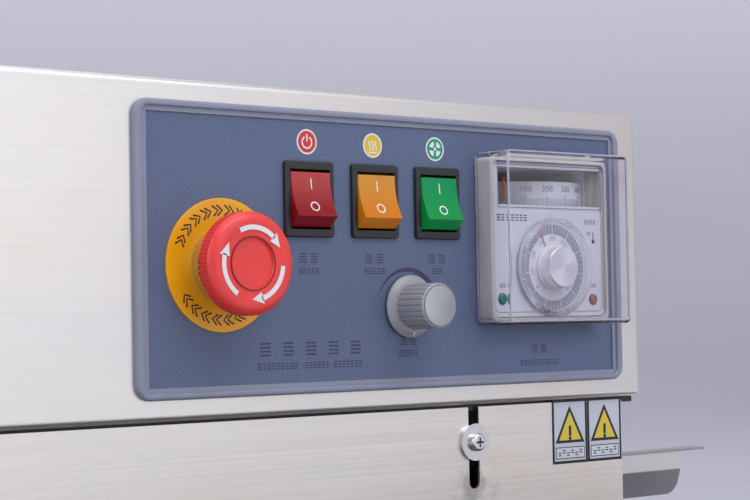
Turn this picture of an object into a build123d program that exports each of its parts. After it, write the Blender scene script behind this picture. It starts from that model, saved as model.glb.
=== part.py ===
from build123d import *
import math
import os

os.makedirs("parts", exist_ok=True)

# Continuous band sealer, millimetres. X runs along the machine (the bag travels towards -X),
# -Y faces the operator, +Z is up. The origin is on the floor under the middle of the machine.
# Depths are counted backwards from the front face of the control box.

# ---------------------------------------------------------------- driving dimensions
FACE_Y = -35.0                 # front face of the control box
BOX_LENGTH = 560.0
BOX_DEPTH = 230.0
BOX_BOTTOM = 187.0
BOX_TOP = 320.0
SHEET = 1.2
BOX_RADIUS = 2.6

PANEL_X = 132.5                # middle of the control panel
PANEL_Z = 253.4
PANEL_WIDTH = 255.3
PANEL_HEIGHT = 106.9
PANEL_SKIN = 0.6
FRAME_WIDTH = 267.2
FRAME_HEIGHT = 116.3

ESTOP_X = 39.6
ESTOP_Z = 247.4
ESTOP_TRAVEL = 4.0

SWITCH_X = (82.9, 117.7, 152.6)
SWITCH_Z = 274.5
SWITCH_NAMES = ("power", "heater", "fan")
ROCKER_TILT = 15.0
ROCKER_PIVOT = 1.7             # depth of the rocker's pins

KNOB_X = 136.0
KNOB_Z = 230.3

METER_X = 213.0                # temperature controller
METER_Z = 259.3
METER_SIZE = 72.0
DIAL_Z = 246.9
WINDOW_Z = 282.0
SCALE_X = 225.5                # axis of the scale drum and its needle
SCALE_BOTTOM = 270.5
SCALE_TOP = 286.1
SCALE_RADIUS = 35.0
SCALE_FRONT = -3.5
SCALE_START = -55.0            # degrees from straight ahead
SCALE_SWEEP = 87.0
NEEDLE_REST = -45.5
COVER_SIZE = 76.0
COVER_FRONT = -22.6
COVER_BACK = -0.9

GUARD_WIDTH = 539.0
GUARD_TOP = 185.8
GUARD_BOTTOM = 129.0
GUARD_FRONT = 3.05
GUARD_SLOT_X = 175.4
GUARD_SCREW_Z = 170.5

SEAL_Z = 122.0                 # where the two bands meet
SHAFT_SPREAD = 57.0            # upper shaft to lower shaft
WHEEL_X = 225.0
WHEEL_RADIUS = 27.8
BAND_CLEAR = 0.3
BAND_THICK = 0.3
BAND_WIDTH = 15.0
BAND_FRONT = 13.5
WHEEL_FRONT = 12.0
WHEEL_WIDTH = 18.0
SHAFT_RADIUS = 6.0
RUNNING_FIT = 0.05
PINCH_X = -110.0
PINCH_RADIUS = 24.0
HEATER_X = 120.0
COOLER_X = -10.0

GUIDE_LEFT = 240.0             # infeed guide
GUIDE_RIGHT = 352.0
GUIDE_TIP = 371.0
GUIDE_FRONT = 40.6
GUIDE_TOP = 156.0
FLANGE_LENGTH = 107.0
FLANGE_DEPTH = 10.0
LIP_LEFT = 264.0
LIP_TOP = 146.4
LIP_DEPTH = 13.7

HEAD_FRONT = 45.0              # head plate
HEAD_THICK = 6.0
HEAD_HALF = 262.0
GEAR_MODULE = 1.5
GEAR_TEETH = 38
PINION_TEETH = 19
GEAR_FRONT = 54.5
GEAR_WIDTH = 8.0

BASE_TOP = 17.0                # top of the base plate
BASE_THICK = 3.0
HOUSING_BACK = 228.0
HOUSING_SHEET = 1.5
FAN_X = 110.0
FAN_Z = 104.0
FAN_SIZE = 80.0

BELT_TOP = 100.0
BELT_THICK = 1.5
BELT_FRONT = -154.0
BELT_BACK = -6.0
ROLLER_RADIUS = 15.0
MACHINE_HALF = 420.0
COLUMN_X = 200.0
COLUMN_DEPTH = -80.0
KNOB_STEM_Z = 36.0

# ---------------------------------------------------------------- derived places
BOX_RIGHT = BOX_LENGTH / 2
UPPER_Z = SEAL_Z + SHAFT_SPREAD / 2
LOWER_Z = SEAL_Z - SHAFT_SPREAD / 2
BAND_RADIUS = WHEEL_RADIUS + BAND_CLEAR
FLOOR_BOTTOM = BOX_BOTTOM - 2.9
PINION_X = -WHEEL_X + GEAR_MODULE * (GEAR_TEETH + PINION_TEETH) / 2
HEAD_BACK = HEAD_FRONT + HEAD_THICK
SCALE_DEPTH = SCALE_FRONT + SCALE_RADIUS
COVER_PIVOT_Z = METER_Z + COVER_SIZE / 2 - 0.85
BELT_INNER = ROLLER_RADIUS + BAND_CLEAR
ROLLER_X = MACHINE_HALF - BELT_INNER - BELT_THICK
ROLLER_Z = BELT_TOP - BELT_THICK - BELT_INNER
PINCH_UPPER_Z = SEAL_Z + 0.7 + PINCH_RADIUS
PINCH_LOWER_Z = SEAL_Z - 0.7 - PINCH_RADIUS


# ---------------------------------------------------------------- helpers
def facing(depth, x=0.0, z=0.0):
    """A plane that looks at the operator; extruding by a positive amount comes forwards."""
    return Plane(origin=(x, FACE_Y + depth, z), x_dir=(1, 0, 0), z_dir=(0, -1, 0))


def turning(x, z):
    """A plane for the half section of a turned piece: across is the radius, up is the depth."""
    return Plane(origin=(x, FACE_Y, z), x_dir=(1, 0, 0), z_dir=(0, 0, 1))


def spindle(x, z):
    """The axis of a turned piece."""
    return Axis((x, FACE_Y, z), (0, 1, 0))


def side(x):
    """A plane across the machine: local x is the depth, local y is the height."""
    return Plane(origin=(x, FACE_Y, 0), x_dir=(0, 1, 0), z_dir=(1, 0, 0))


def save(piece, name):
    piece.part.label = name
    export_step(piece.part, f"parts/{name}.step")


def loop_part(half_span, z, inner, thickness, front, width):
    """A closed flat loop that runs round two equal wheels at +-half_span."""
    with BuildPart() as loop:
        with BuildSketch(facing(front, 0, z)):
            SlotCenterToCenter(2 * half_span, 2 * (inner + thickness))
            SlotCenterToCenter(2 * half_span, 2 * inner, mode=Mode.SUBTRACT)
        extrude(amount=-width)
    return loop.part


def gear_part(x, z, teeth, phase, bore):
    """A spur gear with straight-sided teeth and a little backlash."""
    pitch = GEAR_MODULE * teeth / 2
    root = pitch - 1.25 * GEAR_MODULE
    tip = pitch + 0.95 * GEAR_MODULE
    half = math.pi * GEAR_MODULE / 4 - 0.14
    half_root = half + 0.3 * GEAR_MODULE
    half_tip = half - 0.42 * GEAR_MODULE
    tooth = [(root - 1, -half_root), (root, -half_root), (pitch, -half), (tip, -half_tip),
             (tip, half_tip), (pitch, half), (root, half_root), (root - 1, half_root)]
    with BuildPart() as gear:
        with BuildSketch(facing(GEAR_FRONT, x, z)):
            Circle(root)
            with PolarLocations(0, teeth, start_angle=phase):
                Polygon(*tooth, align=None)
            Circle(bore, mode=Mode.SUBTRACT)
        extrude(amount=-GEAR_WIDTH)
    return gear.part


# ---------------------------------------------------------------- control box
with BuildPart() as control_box_shell:
    with BuildSketch(Plane.XY.offset(BOX_BOTTOM)):
        with Locations((0, FACE_Y + BOX_DEPTH / 2)):
            Rectangle(BOX_LENGTH, BOX_DEPTH)
    extrude(amount=BOX_TOP - BOX_BOTTOM)
    upright = control_box_shell.edges().filter_by(Axis.Z).group_by(Axis.Y)[0]
    fillet(upright, BOX_RADIUS)
    crown = control_box_shell.faces().sort_by(Axis.Z)[-1].edges().sort_by(Axis.Y)[:-1]
    fillet(crown, BOX_RADIUS)
    sill = control_box_shell.faces().sort_by(Axis.Z)[0].edges().sort_by(Axis.Y)[:-1]
    fillet(sill, BOX_RADIUS)
    # hollow, open behind, with an inward flange under the front and the sides
    inner_bend = BOX_RADIUS - SHEET
    with BuildSketch(side(-BOX_RIGHT + SHEET)):
        with Locations((BOX_DEPTH / 2 + SHEET + 5, (BOX_TOP + BOX_BOTTOM) / 2)):
            RectangleRounded(BOX_DEPTH + 10, BOX_TOP - BOX_BOTTOM - 2 * SHEET, inner_bend)
    extrude(amount=BOX_LENGTH - 2 * SHEET, mode=Mode.SUBTRACT)
    with BuildSketch(Plane.XY.offset(BOX_BOTTOM)):
        with Locations((0, FACE_Y + 13 + BOX_DEPTH / 2)):
            Rectangle(BOX_LENGTH - 26, BOX_DEPTH)
    extrude(amount=SHEET, mode=Mode.SUBTRACT)
    # openings behind the control panel
    with BuildSketch(facing(SHEET + 2)):
        with Locations((ESTOP_X, ESTOP_Z)):
            Circle(11.3)
        with Locations(*[(x, SWITCH_Z) for x in SWITCH_X]):
            Rectangle(22.6, 28.2)
        with Locations((KNOB_X, KNOB_Z)):
            Circle(4.2)
        with Locations((METER_X, METER_Z)):
            Rectangle(68, 68)
    extrude(amount=SHEET + 4, mode=Mode.SUBTRACT)
save(control_box_shell, "control_box_shell")

with BuildPart() as control_box_floor:
    with BuildSketch(Plane.XY.offset(FLOOR_BOTTOM)):
        with Locations((0, FACE_Y + 5.5 + (BOX_DEPTH - 7) / 2)):
            Rectangle(BOX_LENGTH - 1.2, BOX_DEPTH - 7)
        with Locations((150, FACE_Y + 140)):
            Circle(18, mode=Mode.SUBTRACT)
    extrude(amount=BOX_BOTTOM - FLOOR_BOTTOM)
save(control_box_floor, "control_box_floor")

with BuildPart() as control_box_rear:
    with BuildSketch(facing(HOUSING_BACK, 0, (BOX_TOP + BOX_BOTTOM) / 2)):
        RectangleRounded(BOX_LENGTH - 2 * SHEET - 0.6, BOX_TOP - BOX_BOTTOM - 2 * SHEET - 0.6, 1.2)
        with Locations((-150, 10), (150, 10)):
            with GridLocations(0, 9, 1, 7):
                SlotOverall(110, 3.2, mode=Mode.SUBTRACT)
    extrude(amount=-SHEET)
save(control_box_rear, "control_box_rear")

# ---------------------------------------------------------------- control panel
with BuildPart() as panel_plate:
    with BuildSketch(facing(0, PANEL_X, PANEL_Z)):
        Rectangle(PANEL_WIDTH - 0.2, PANEL_HEIGHT - 0.2)
    extrude(amount=PANEL_SKIN)
    with BuildSketch(facing(1)):
        with Locations((ESTOP_X, ESTOP_Z)):
            Circle(11.3)
        with Locations(*[(x, SWITCH_Z) for x in SWITCH_X]):
            Rectangle(22.6, 28.2)
        with Locations((KNOB_X, KNOB_Z)):
            Circle(4.2)
        with Locations((METER_X, METER_Z)):
            Rectangle(68, 68)
    extrude(amount=3, mode=Mode.SUBTRACT)
save(panel_plate, "panel_plate")

with BuildPart() as panel_frame:
    with BuildSketch(facing(0, PANEL_X, PANEL_Z)):
        RectangleRounded(FRAME_WIDTH, FRAME_HEIGHT, 6.5)
        Rectangle(PANEL_WIDTH, PANEL_HEIGHT, mode=Mode.SUBTRACT)
    extrude(amount=1.3)
    with BuildSketch(facing(-1.3, PANEL_X, PANEL_Z)):
        RectangleRounded(FRAME_WIDTH, FRAME_HEIGHT, 6.5)
        RectangleRounded(FRAME_WIDTH - 7.4, FRAME_HEIGHT - 5.6, 3.0, mode=Mode.SUBTRACT)
    extrude(amount=1.3)
    outer_rim = panel_frame.faces().sort_by(Axis.Y)[0].outer_wire().edges()
    fillet(outer_rim, 1.4)
    inner_rim = panel_frame.faces().sort_by(Axis.Y)[0].inner_wires()[0].edges()
    fillet(inner_rim, 0.9)
save(panel_frame, "panel_frame")

# ---------------------------------------------------------------- emergency stop
with BuildPart() as estop_ring:
    with BuildSketch(facing(-PANEL_SKIN, ESTOP_X, ESTOP_Z)):
        Circle(26.5)
        Circle(11.3, mode=Mode.SUBTRACT)
    extrude(amount=1.0)
    fillet(estop_ring.faces().sort_by(Axis.Y)[0].outer_wire().edges(), 0.4)
save(estop_ring, "estop_ring")

with BuildPart() as estop_collar:
    with BuildSketch(facing(-1.6, ESTOP_X, ESTOP_Z)):
        Circle(15.0)
        with PolarLocations(15.1, 40):
            Circle(0.55, mode=Mode.SUBTRACT)
        Circle(11.1, mode=Mode.SUBTRACT)
    extrude(amount=4.6)
save(estop_collar, "estop_collar")

with BuildPart() as estop_body:
    with BuildSketch(facing(16, ESTOP_X, ESTOP_Z)):
        Circle(11.0)
        Circle(7.0, mode=Mode.SUBTRACT)
    extrude(amount=22.6)
    with BuildSketch(facing(1.3, ESTOP_X, ESTOP_Z)):
        Circle(14.5)
        Circle(11.0, mode=Mode.SUBTRACT)
    extrude(amount=-4)
    with BuildSketch(facing(16, ESTOP_X, ESTOP_Z)):
        RectangleRounded(30, 40, 2)
    extrude(amount=-38)
    with BuildSketch(facing(54, ESTOP_X, ESTOP_Z)):
        with GridLocations(16, 28, 2, 2):
            Circle(2.6)
    extrude(amount=5, mode=Mode.SUBTRACT)
save(estop_body, "estop_body")

with BuildPart() as estop_plunger:
    with BuildSketch(turning(ESTOP_X, ESTOP_Z)):
        with BuildLine():
            Polyline((0, -18), (5, -18), (5, -11), (6.8, -11), (6.8, 9), (5.4, 11), (0, 11), close=True)
        make_face()
    revolve(axis=spindle(ESTOP_X, ESTOP_Z))
save(estop_plunger, "estop_plunger")

with BuildPart() as estop_head:
    with BuildSketch(turning(ESTOP_X, ESTOP_Z)):
        with BuildLine():
            Polyline((0, -18.2), (0, -21.1), (9.9, -21.1), (10.4, -21.9), (14, -22.1))
            ThreePointArc((14, -22.1), (18.8, -21.5), (20.2, -20.0))
            Polyline((20.2, -20.0), (20.2, -14.6), (18.8, -13.6), (12, -12))
            Polyline((12, -12), (5.06, -12), (5.06, -18.2), (0, -18.2))
        make_face()
    revolve(axis=spindle(ESTOP_X, ESTOP_Z))
    with BuildSketch(facing(-14.9, ESTOP_X, ESTOP_Z)):
        with PolarLocations(20.35, 72):
            Circle(0.5)
    extrude(amount=4.7, mode=Mode.SUBTRACT)
save(estop_head, "estop_head")

# ---------------------------------------------------------------- rocker switches
with BuildPart() as switch_housings:
    for x in SWITCH_X:
        with BuildSketch(facing(-PANEL_SKIN, x, SWITCH_Z)):
            RectangleRounded(25, 31, 1.5)
        extrude(amount=2.0)
        with BuildSketch(facing(-PANEL_SKIN, x, SWITCH_Z)):
            Rectangle(22.2, 27.8)
        extrude(amount=-18)
        with BuildSketch(facing(13, x, SWITCH_Z)):
            Rectangle(20.4, 24.6)
        extrude(amount=18, mode=Mode.SUBTRACT)
        with BuildSketch(side(x - 12)):
            with Locations((ROCKER_PIVOT, SWITCH_Z)):
                Circle(1.25)
        extrude(amount=24, mode=Mode.SUBTRACT)
        with BuildSketch(facing(17.4, x, SWITCH_Z)):
            with GridLocations(0, 8, 1, 3):
                Rectangle(6.3, 0.8)
        extrude(amount=-9)
    rims = switch_housings.faces().filter_by(Axis.Y).group_by(Axis.Y)[0]
    for rim in rims:
        fillet(rim.outer_wire().edges(), 0.7)
save(switch_housings, "switch_housings")


def rocker_part(x):
    """A rocker drawn level on its pins and then tipped so that its upper half is pressed in."""
    with BuildPart() as rocker:
        with BuildSketch(side(x - 9.9)):
            with BuildLine():
                ThreePointArc((-5.6, SWITCH_Z - 9.4), (-4.2, SWITCH_Z), (-5.6, SWITCH_Z + 9.4))
                Polyline((-5.6, SWITCH_Z + 9.4), (0.6, SWITCH_Z + 12.0), (5, SWITCH_Z + 10),
                         (8, SWITCH_Z + 3), (8, SWITCH_Z - 3), (5, SWITCH_Z - 10),
                         (0.6, SWITCH_Z - 12.0), (-5.6, SWITCH_Z - 9.4))
            make_face()
        extrude(amount=19.8)
        with BuildSketch(side(x - 10.9)):
            with Locations((ROCKER_PIVOT, SWITCH_Z)):
                Circle(1.2)
        extrude(amount=21.8)
    hinge = Axis((0, FACE_Y + ROCKER_PIVOT, SWITCH_Z), (1, 0, 0))
    return rocker.part.rotate(hinge, -ROCKER_TILT)


for name, x in zip(SWITCH_NAMES, SWITCH_X):
    with BuildPart() as rocker_piece:
        add(rocker_part(x))
    save(rocker_piece, f"rocker_{name}")

# ---------------------------------------------------------------- speed control
with BuildPart() as speed_potentiometer:
    with BuildSketch(facing(4, KNOB_X, KNOB_Z)):
        Circle(12)
    extrude(amount=-10)
    with BuildSketch(facing(4, KNOB_X, KNOB_Z)):
        Circle(4.1)
    extrude(amount=5.5)
    with BuildSketch(facing(4, KNOB_X, KNOB_Z)):
        RegularPolygon(6, 6)
    extrude(amount=2.6)
    with BuildSketch(facing(8, KNOB_X, KNOB_Z - 14)):
        with GridLocations(5, 0, 3, 1):
            Rectangle(2, 8)
    extrude(amount=-1)
    with BuildSketch(facing(10, KNOB_X, KNOB_Z)):
        Circle(3.05)
    extrude(amount=14, mode=Mode.SUBTRACT)
save(speed_potentiometer, "speed_potentiometer")

with BuildPart() as speed_spindle:
    with BuildSketch(facing(9.6, KNOB_X, KNOB_Z)):
        Circle(3.0)
    extrude(amount=25)
save(speed_spindle, "speed_spindle")

with BuildPart() as speed_knob:
    with BuildSketch(turning(KNOB_X, KNOB_Z)):
        with BuildLine():
            Polyline((3.02, -1.9), (5, -1.9), (5, -1.2), (12.6, -1.2), (13.25, -1.8), (13.25, -2.6),
                     (11.2, -4.3), (9.75, -4.6), (9.6, -20.0), (9.0, -20.8), (8.8, -20.8),
                     (8.8, -20.3), (8.5, -20.3), (8.5, -21.1), (0, -21.1), (0, -15.6),
                     (3.02, -15.6), close=True)
        make_face()
    revolve(axis=spindle(KNOB_X, KNOB_Z))
    with BuildSketch(facing(-4.8, KNOB_X, KNOB_Z)):
        with PolarLocations(10.15, 24):
            Circle(0.85)
    extrude(amount=17, mode=Mode.SUBTRACT)
save(speed_knob, "speed_knob")

# ---------------------------------------------------------------- temperature controller
with BuildPart() as controller_case:
    with BuildSketch(facing(-PANEL_SKIN, METER_X, METER_Z)):
        RectangleRounded(METER_SIZE, METER_SIZE, 2)
    extrude(amount=9.2)
    fillet(controller_case.faces().sort_by(Axis.Y)[0].edges(), 0.8)
    with BuildSketch(facing(-PANEL_SKIN, METER_X, METER_Z)):
        Rectangle(67, 67)
    extrude(amount=-84)
    with BuildSketch(facing(80, METER_X, METER_Z)):
        Rectangle(64, 64)
    extrude(amount=80 + 6.2, mode=Mode.SUBTRACT)
    with BuildSketch(facing(-3, METER_X, METER_Z)):
        RectangleRounded(69.2, 69.2, 3.4)
    extrude(amount=20, mode=Mode.SUBTRACT)
    # hinge ears for the cover
    with Locations(*[(METER_X + s * 26, FACE_Y - 1.75, METER_Z + 36.7) for s in (-1, 1)]):
        Box(3, 1.6, 2.6)
    with BuildSketch(side(METER_X - 30)):
        with Locations((-1.75, COVER_PIVOT_Z)):
            Circle(0.55)
    extrude(amount=60, mode=Mode.SUBTRACT)
save(controller_case, "controller_case")

with BuildPart() as controller_face:
    with BuildSketch(facing(-7.2, METER_X, METER_Z)):
        RectangleRounded(68.4, 68.4, 3)
        with Locations((1.6, WINDOW_Z - METER_Z)):
            Rectangle(63.5, 18.6, mode=Mode.SUBTRACT)
        with Locations((0, DIAL_Z - METER_Z)):
            Circle(4.1, mode=Mode.SUBTRACT)
        with Locations((-28.7, -26.3), (27.1, -26.8)):
            Circle(2.65, mode=Mode.SUBTRACT)
    extrude(amount=1.0)
    with BuildSketch(facing(-7.2, METER_X + 1.6, WINDOW_Z - 8.3)):
        Rectangle(63.5, 2.0)
    extrude(amount=0.5)
save(controller_face, "controller_face")

with BuildPart() as controller_scale:
    with BuildSketch(Plane.XY.offset(SCALE_BOTTOM)):
        with BuildLine():
            drum_centre = (SCALE_X, FACE_Y + SCALE_DEPTH)
            outside = CenterArc(drum_centre, SCALE_RADIUS, 270 + SCALE_START, SCALE_SWEEP)
            inside = CenterArc(drum_centre, SCALE_RADIUS - 1, 270 + SCALE_START, SCALE_SWEEP)
            Line(outside @ 0, inside @ 0)
            Line(outside @ 1, inside @ 1)
        make_face()
    extrude(amount=SCALE_TOP - SCALE_BOTTOM)
save(controller_scale, "controller_scale")

with BuildPart() as controller_needle:
    tip_radius = SCALE_RADIUS + 1.0
    with Locations(Location((SCALE_X, FACE_Y + SCALE_DEPTH, 0), (0, 0, NEEDLE_REST))):
        with Locations((0, -tip_radius, SCALE_TOP - 3.25)):
            Box(1.1, 0.6, 10.5)
        with Locations((0, -tip_radius / 2, SCALE_TOP + 1.0)):
            Box(1.1, tip_radius + 0.6, 0.8)
        with Locations((0, 0, SCALE_TOP + 1.0)):
            Cylinder(3.5, 0.8)
            Cylinder(1.05, 3, mode=Mode.SUBTRACT)
save(controller_needle, "controller_needle")

with BuildPart() as controller_movement:
    with BuildSketch(Plane.XY.offset(SCALE_BOTTOM - 2)):
        with Locations((SCALE_X, FACE_Y + SCALE_DEPTH)):
            Circle(1.0)
    extrude(amount=SCALE_TOP - SCALE_BOTTOM + 5)
    with Locations((SCALE_X, FACE_Y + SCALE_DEPTH + 2, SCALE_BOTTOM - 16)):
        Box(34, 30, 28)
save(controller_movement, "controller_movement")

with BuildPart() as controller_dial:
    with BuildSketch(turning(METER_X, DIAL_Z)):
        with BuildLine():
            Polyline((0, 6), (4.0, 6), (4.0, -8.5), (19.75, -8.5), (19.75, -10.0), (10.2, -10.0),
                     (10.2, -11.0), (9.1, -11.6), (9.1, -16.6), (8.8, -17.0), (0, -16.9), close=True)
        make_face()
    revolve(axis=spindle(METER_X, DIAL_Z))
save(controller_dial, "controller_dial")

with BuildPart() as controller_dial_ring:
    with BuildSketch(facing(-8.5, METER_X, DIAL_Z)):
        Circle(21.95)
        Circle(19.8, mode=Mode.SUBTRACT)
    extrude(amount=5.1)
    fillet(controller_dial_ring.faces().sort_by(Axis.Y)[0].edges(), 0.7)
save(controller_dial_ring, "controller_dial_ring")

with BuildPart() as controller_lamps:
    for dx, dz in ((-28.7, -26.3), (27.1, -26.8)):
        with BuildSketch(facing(4, METER_X + dx, METER_Z + dz)):
            Circle(2.5)
        extrude(amount=13.4)
    fillet(controller_lamps.faces().filter_by(Axis.Y).group_by(Axis.Y)[0].edges(), 1.2)
save(controller_lamps, "controller_lamps")

with BuildPart() as controller_cover:
    with BuildSketch(facing(COVER_BACK, METER_X, METER_Z)):
        RectangleRounded(COVER_SIZE, COVER_SIZE, 2.5)
    extrude(amount=COVER_BACK - COVER_FRONT)
    fillet(controller_cover.faces().sort_by(Axis.Y)[0].edges(), 1.8)
    with BuildSketch(facing(COVER_BACK, METER_X, METER_Z)):
        Rectangle(COVER_SIZE - 3, COVER_SIZE - 3)
    extrude(amount=COVER_BACK - COVER_FRONT - 1.6, mode=Mode.SUBTRACT)
    # the rear upper edge is rounded about the hinge line and notched for the ears
    with BuildSketch(side(METER_X - COVER_SIZE / 2)):
        with Locations((-1.325, COVER_PIVOT_Z + 0.425)):
            Rectangle(0.85, 0.85)
        with Locations((-1.75, COVER_PIVOT_Z)):
            Circle(0.85, mode=Mode.SUBTRACT)
    extrude(amount=COVER_SIZE, mode=Mode.SUBTRACT)
    with Locations(*[(METER_X + s * 26, FACE_Y - 1.4, METER_Z + COVER_SIZE / 2) for s in (-1, 1)]):
        Box(3.6, 4.2, 8, mode=Mode.SUBTRACT)
    with BuildSketch(side(METER_X - 29)):
        with Locations((-1.75, COVER_PIVOT_Z)):
            Circle(0.5)
    extrude(amount=6)
    with BuildSketch(side(METER_X + 23)):
        with Locations((-1.75, COVER_PIVOT_Z)):
            Circle(0.5)
    extrude(amount=6)
save(controller_cover, "controller_cover")

# ---------------------------------------------------------------- guard
with BuildPart() as guard:
    with BuildSketch(facing(GUARD_FRONT, 0, (GUARD_TOP + GUARD_BOTTOM) / 2)):
        RectangleRounded(GUARD_WIDTH, GUARD_TOP - GUARD_BOTTOM, 1.2)
    extrude(amount=-SHEET)
    with BuildSketch(facing(GUARD_FRONT)):
        for s in (-1, 1):
            with Locations((s * GUARD_SLOT_X, 153.1)):
                Circle(3.1)
            with Locations((s * GUARD_SLOT_X, 173.1)):
                Rectangle(6.2, 40)
    extrude(amount=-SHEET, mode=Mode.SUBTRACT)
    with Locations((0, FACE_Y + GUARD_FRONT + 3, GUARD_BOTTOM + SHEET / 2)):
        Box(GUARD_WIDTH - 6, 6, SHEET)
save(guard, "guard")

with BuildPart() as guard_brackets:
    for s in (-1, 1):
        with Locations((s * GUARD_SLOT_X, FACE_Y + 6.1, 172)):
            Box(24, 2.5, 24.2)
        with Locations((s * GUARD_SLOT_X, FACE_Y + 12.5, FLOOR_BOTTOM - 1.25)):
            Box(24, 15.3, 2.5)
        with BuildSketch(facing(10, s * GUARD_SLOT_X, GUARD_SCREW_Z)):
            Circle(2.05)
        extrude(amount=8, mode=Mode.SUBTRACT)
save(guard_brackets, "guard_brackets")

with BuildPart() as guard_screws:
    for s in (-1, 1):
        with BuildSketch(facing(11, s * GUARD_SLOT_X, GUARD_SCREW_Z)):
            Circle(2.0)
        extrude(amount=11)
        with BuildSketch(facing(1.55, s * GUARD_SLOT_X, GUARD_SCREW_Z)):
            Circle(4.0)
        extrude(amount=2.6)
    heads = guard_screws.faces().filter_by(Axis.Y).group_by(Axis.Y)[0]
    fillet(heads.edges(), 1.3)
    for s in (-1, 1):
        with BuildSketch(facing(-1.1, s * GUARD_SLOT_X, GUARD_SCREW_Z)):
            Rectangle(4.2, 0.9)
            Rectangle(0.9, 4.2)
        extrude(amount=-1.4, mode=Mode.SUBTRACT)
    # the washer under each head
    for s in (-1, 1):
        with BuildSketch(facing(3.0, s * GUARD_SLOT_X, GUARD_SCREW_Z)):
            Circle(8.15)
            Circle(2.1, mode=Mode.SUBTRACT)
        extrude(amount=1.4)
save(guard_screws, "guard_screws")

# ---------------------------------------------------------------- sealing head
with BuildPart() as head_plate:
    with BuildSketch(facing(HEAD_FRONT)):
        with Locations((0, (BASE_TOP + FLOOR_BOTTOM) / 2)):
            Rectangle(2 * HEAD_HALF, FLOOR_BOTTOM - BASE_TOP)
        for x in (-WHEEL_X, WHEEL_X):
            with Locations((x, UPPER_Z), (x, LOWER_Z)):
                Circle(11.0, mode=Mode.SUBTRACT)
        with Locations((PINCH_X, PINCH_UPPER_Z), (PINCH_X, PINCH_LOWER_Z)):
            Circle(11.0, mode=Mode.SUBTRACT)
        with Locations((COOLER_X, 52), (HEATER_X, 52)):
            SlotOverall(60, 10, mode=Mode.SUBTRACT)
    extrude(amount=-HEAD_THICK)
save(head_plate, "head_plate")

BEARING_SPOTS = [(x, z) for x in (-WHEEL_X, WHEEL_X) for z in (UPPER_Z, LOWER_Z)]
BEARING_SPOTS += [(PINCH_X, PINCH_UPPER_Z), (PINCH_X, PINCH_LOWER_Z)]
with BuildPart() as shaft_bearings:
    for x, z in BEARING_SPOTS:
        with BuildSketch(facing(HEAD_BACK + 1, x, z)):
            Circle(10.95)
        extrude(amount=HEAD_THICK + 1)
        with BuildSketch(facing(HEAD_FRONT, x, z)):
            Circle(14)
        extrude(amount=3)
        with BuildSketch(facing(HEAD_BACK + 2, x, z)):
            Circle(SHAFT_RADIUS + RUNNING_FIT)
        extrude(amount=14, mode=Mode.SUBTRACT)
save(shaft_bearings, "shaft_bearings")


def wheel_part(x, z, radius, tail):
    """A dished wheel on its shaft; tail is the depth at which the shaft ends."""
    with BuildPart() as wheel:
        with BuildSketch(turning(x, z)):
            with BuildLine():
                front, back = WHEEL_FRONT, WHEEL_FRONT + WHEEL_WIDTH
                Polyline((0, front - 3), (5, front - 3), (5, front - 0.5), (10, front - 0.5),
                         (10, front + 5), (radius - 5, front + 5), (radius - 4, front),
                         (radius - 0.6, front), (radius, front + 0.6), (radius, back - 0.6),
                         (radius - 0.6, back), (radius - 4, back), (radius - 5, back - 5),
                         (10, back - 5), (10, back + 3), (SHAFT_RADIUS, back + 3),
                         (SHAFT_RADIUS, tail), (0, tail), close=True)
            make_face()
        revolve(axis=spindle(x, z))
        with BuildSketch(facing(WHEEL_FRONT - 1, x, z)):
            with PolarLocations((radius + 5) / 2, 5):
                Circle(3.2)
        extrude(amount=-WHEEL_WIDTH - 2, mode=Mode.SUBTRACT)
    return wheel.part


SHORT_TAIL = HEAD_BACK + 2.5
LONG_TAIL = GEAR_FRONT + GEAR_WIDTH + 2
WHEELS = {
    "upper_drive_wheel": (-WHEEL_X, UPPER_Z, WHEEL_RADIUS, LONG_TAIL),
    "lower_drive_wheel": (-WHEEL_X, LOWER_Z, WHEEL_RADIUS, LONG_TAIL),
    "upper_idler_wheel": (WHEEL_X, UPPER_Z, WHEEL_RADIUS, SHORT_TAIL),
    "lower_idler_wheel": (WHEEL_X, LOWER_Z, WHEEL_RADIUS, SHORT_TAIL),
    "upper_pinch_wheel": (PINCH_X, PINCH_UPPER_Z, PINCH_RADIUS, SHORT_TAIL),
    "lower_pinch_wheel": (PINCH_X, PINCH_LOWER_Z, PINCH_RADIUS, SHORT_TAIL),
}
for name, place in WHEELS.items():
    with BuildPart() as wheel_piece:
        add(wheel_part(*place))
    save(wheel_piece, name)

GEARS = {
    "upper_drive_gear": (-WHEEL_X, UPPER_Z, GEAR_TEETH, 180 / GEAR_TEETH, SHAFT_RADIUS + 0.02),
    "lower_drive_gear": (-WHEEL_X, LOWER_Z, GEAR_TEETH, 0.0, SHAFT_RADIUS + 0.02),
}
for name, place in GEARS.items():
    with BuildPart() as gear_piece:
        add(gear_part(*place))
    save(gear_piece, name)

with BuildPart() as motor_pinion:
    add(gear_part(PINION_X, LOWER_Z, PINION_TEETH, 0.0, 0.5))
    with BuildSketch(facing(GEAR_FRONT + GEAR_WIDTH, PINION_X, LOWER_Z)):
        Circle(5)
    extrude(amount=-22)
    with BuildSketch(facing(GEAR_FRONT + 1, PINION_X, LOWER_Z)):
        Circle(3)
    extrude(amount=-GEAR_WIDTH)
save(motor_pinion, "motor_pinion")

with BuildPart() as seal_bands:
    for z in (UPPER_Z, LOWER_Z):
        add(loop_part(WHEEL_X, z, BAND_RADIUS, BAND_THICK, BAND_FRONT, BAND_WIDTH))
save(seal_bands, "seal_bands")

BLOCK_REACH = 0.7              # from the seal line to the face of a block


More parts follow.
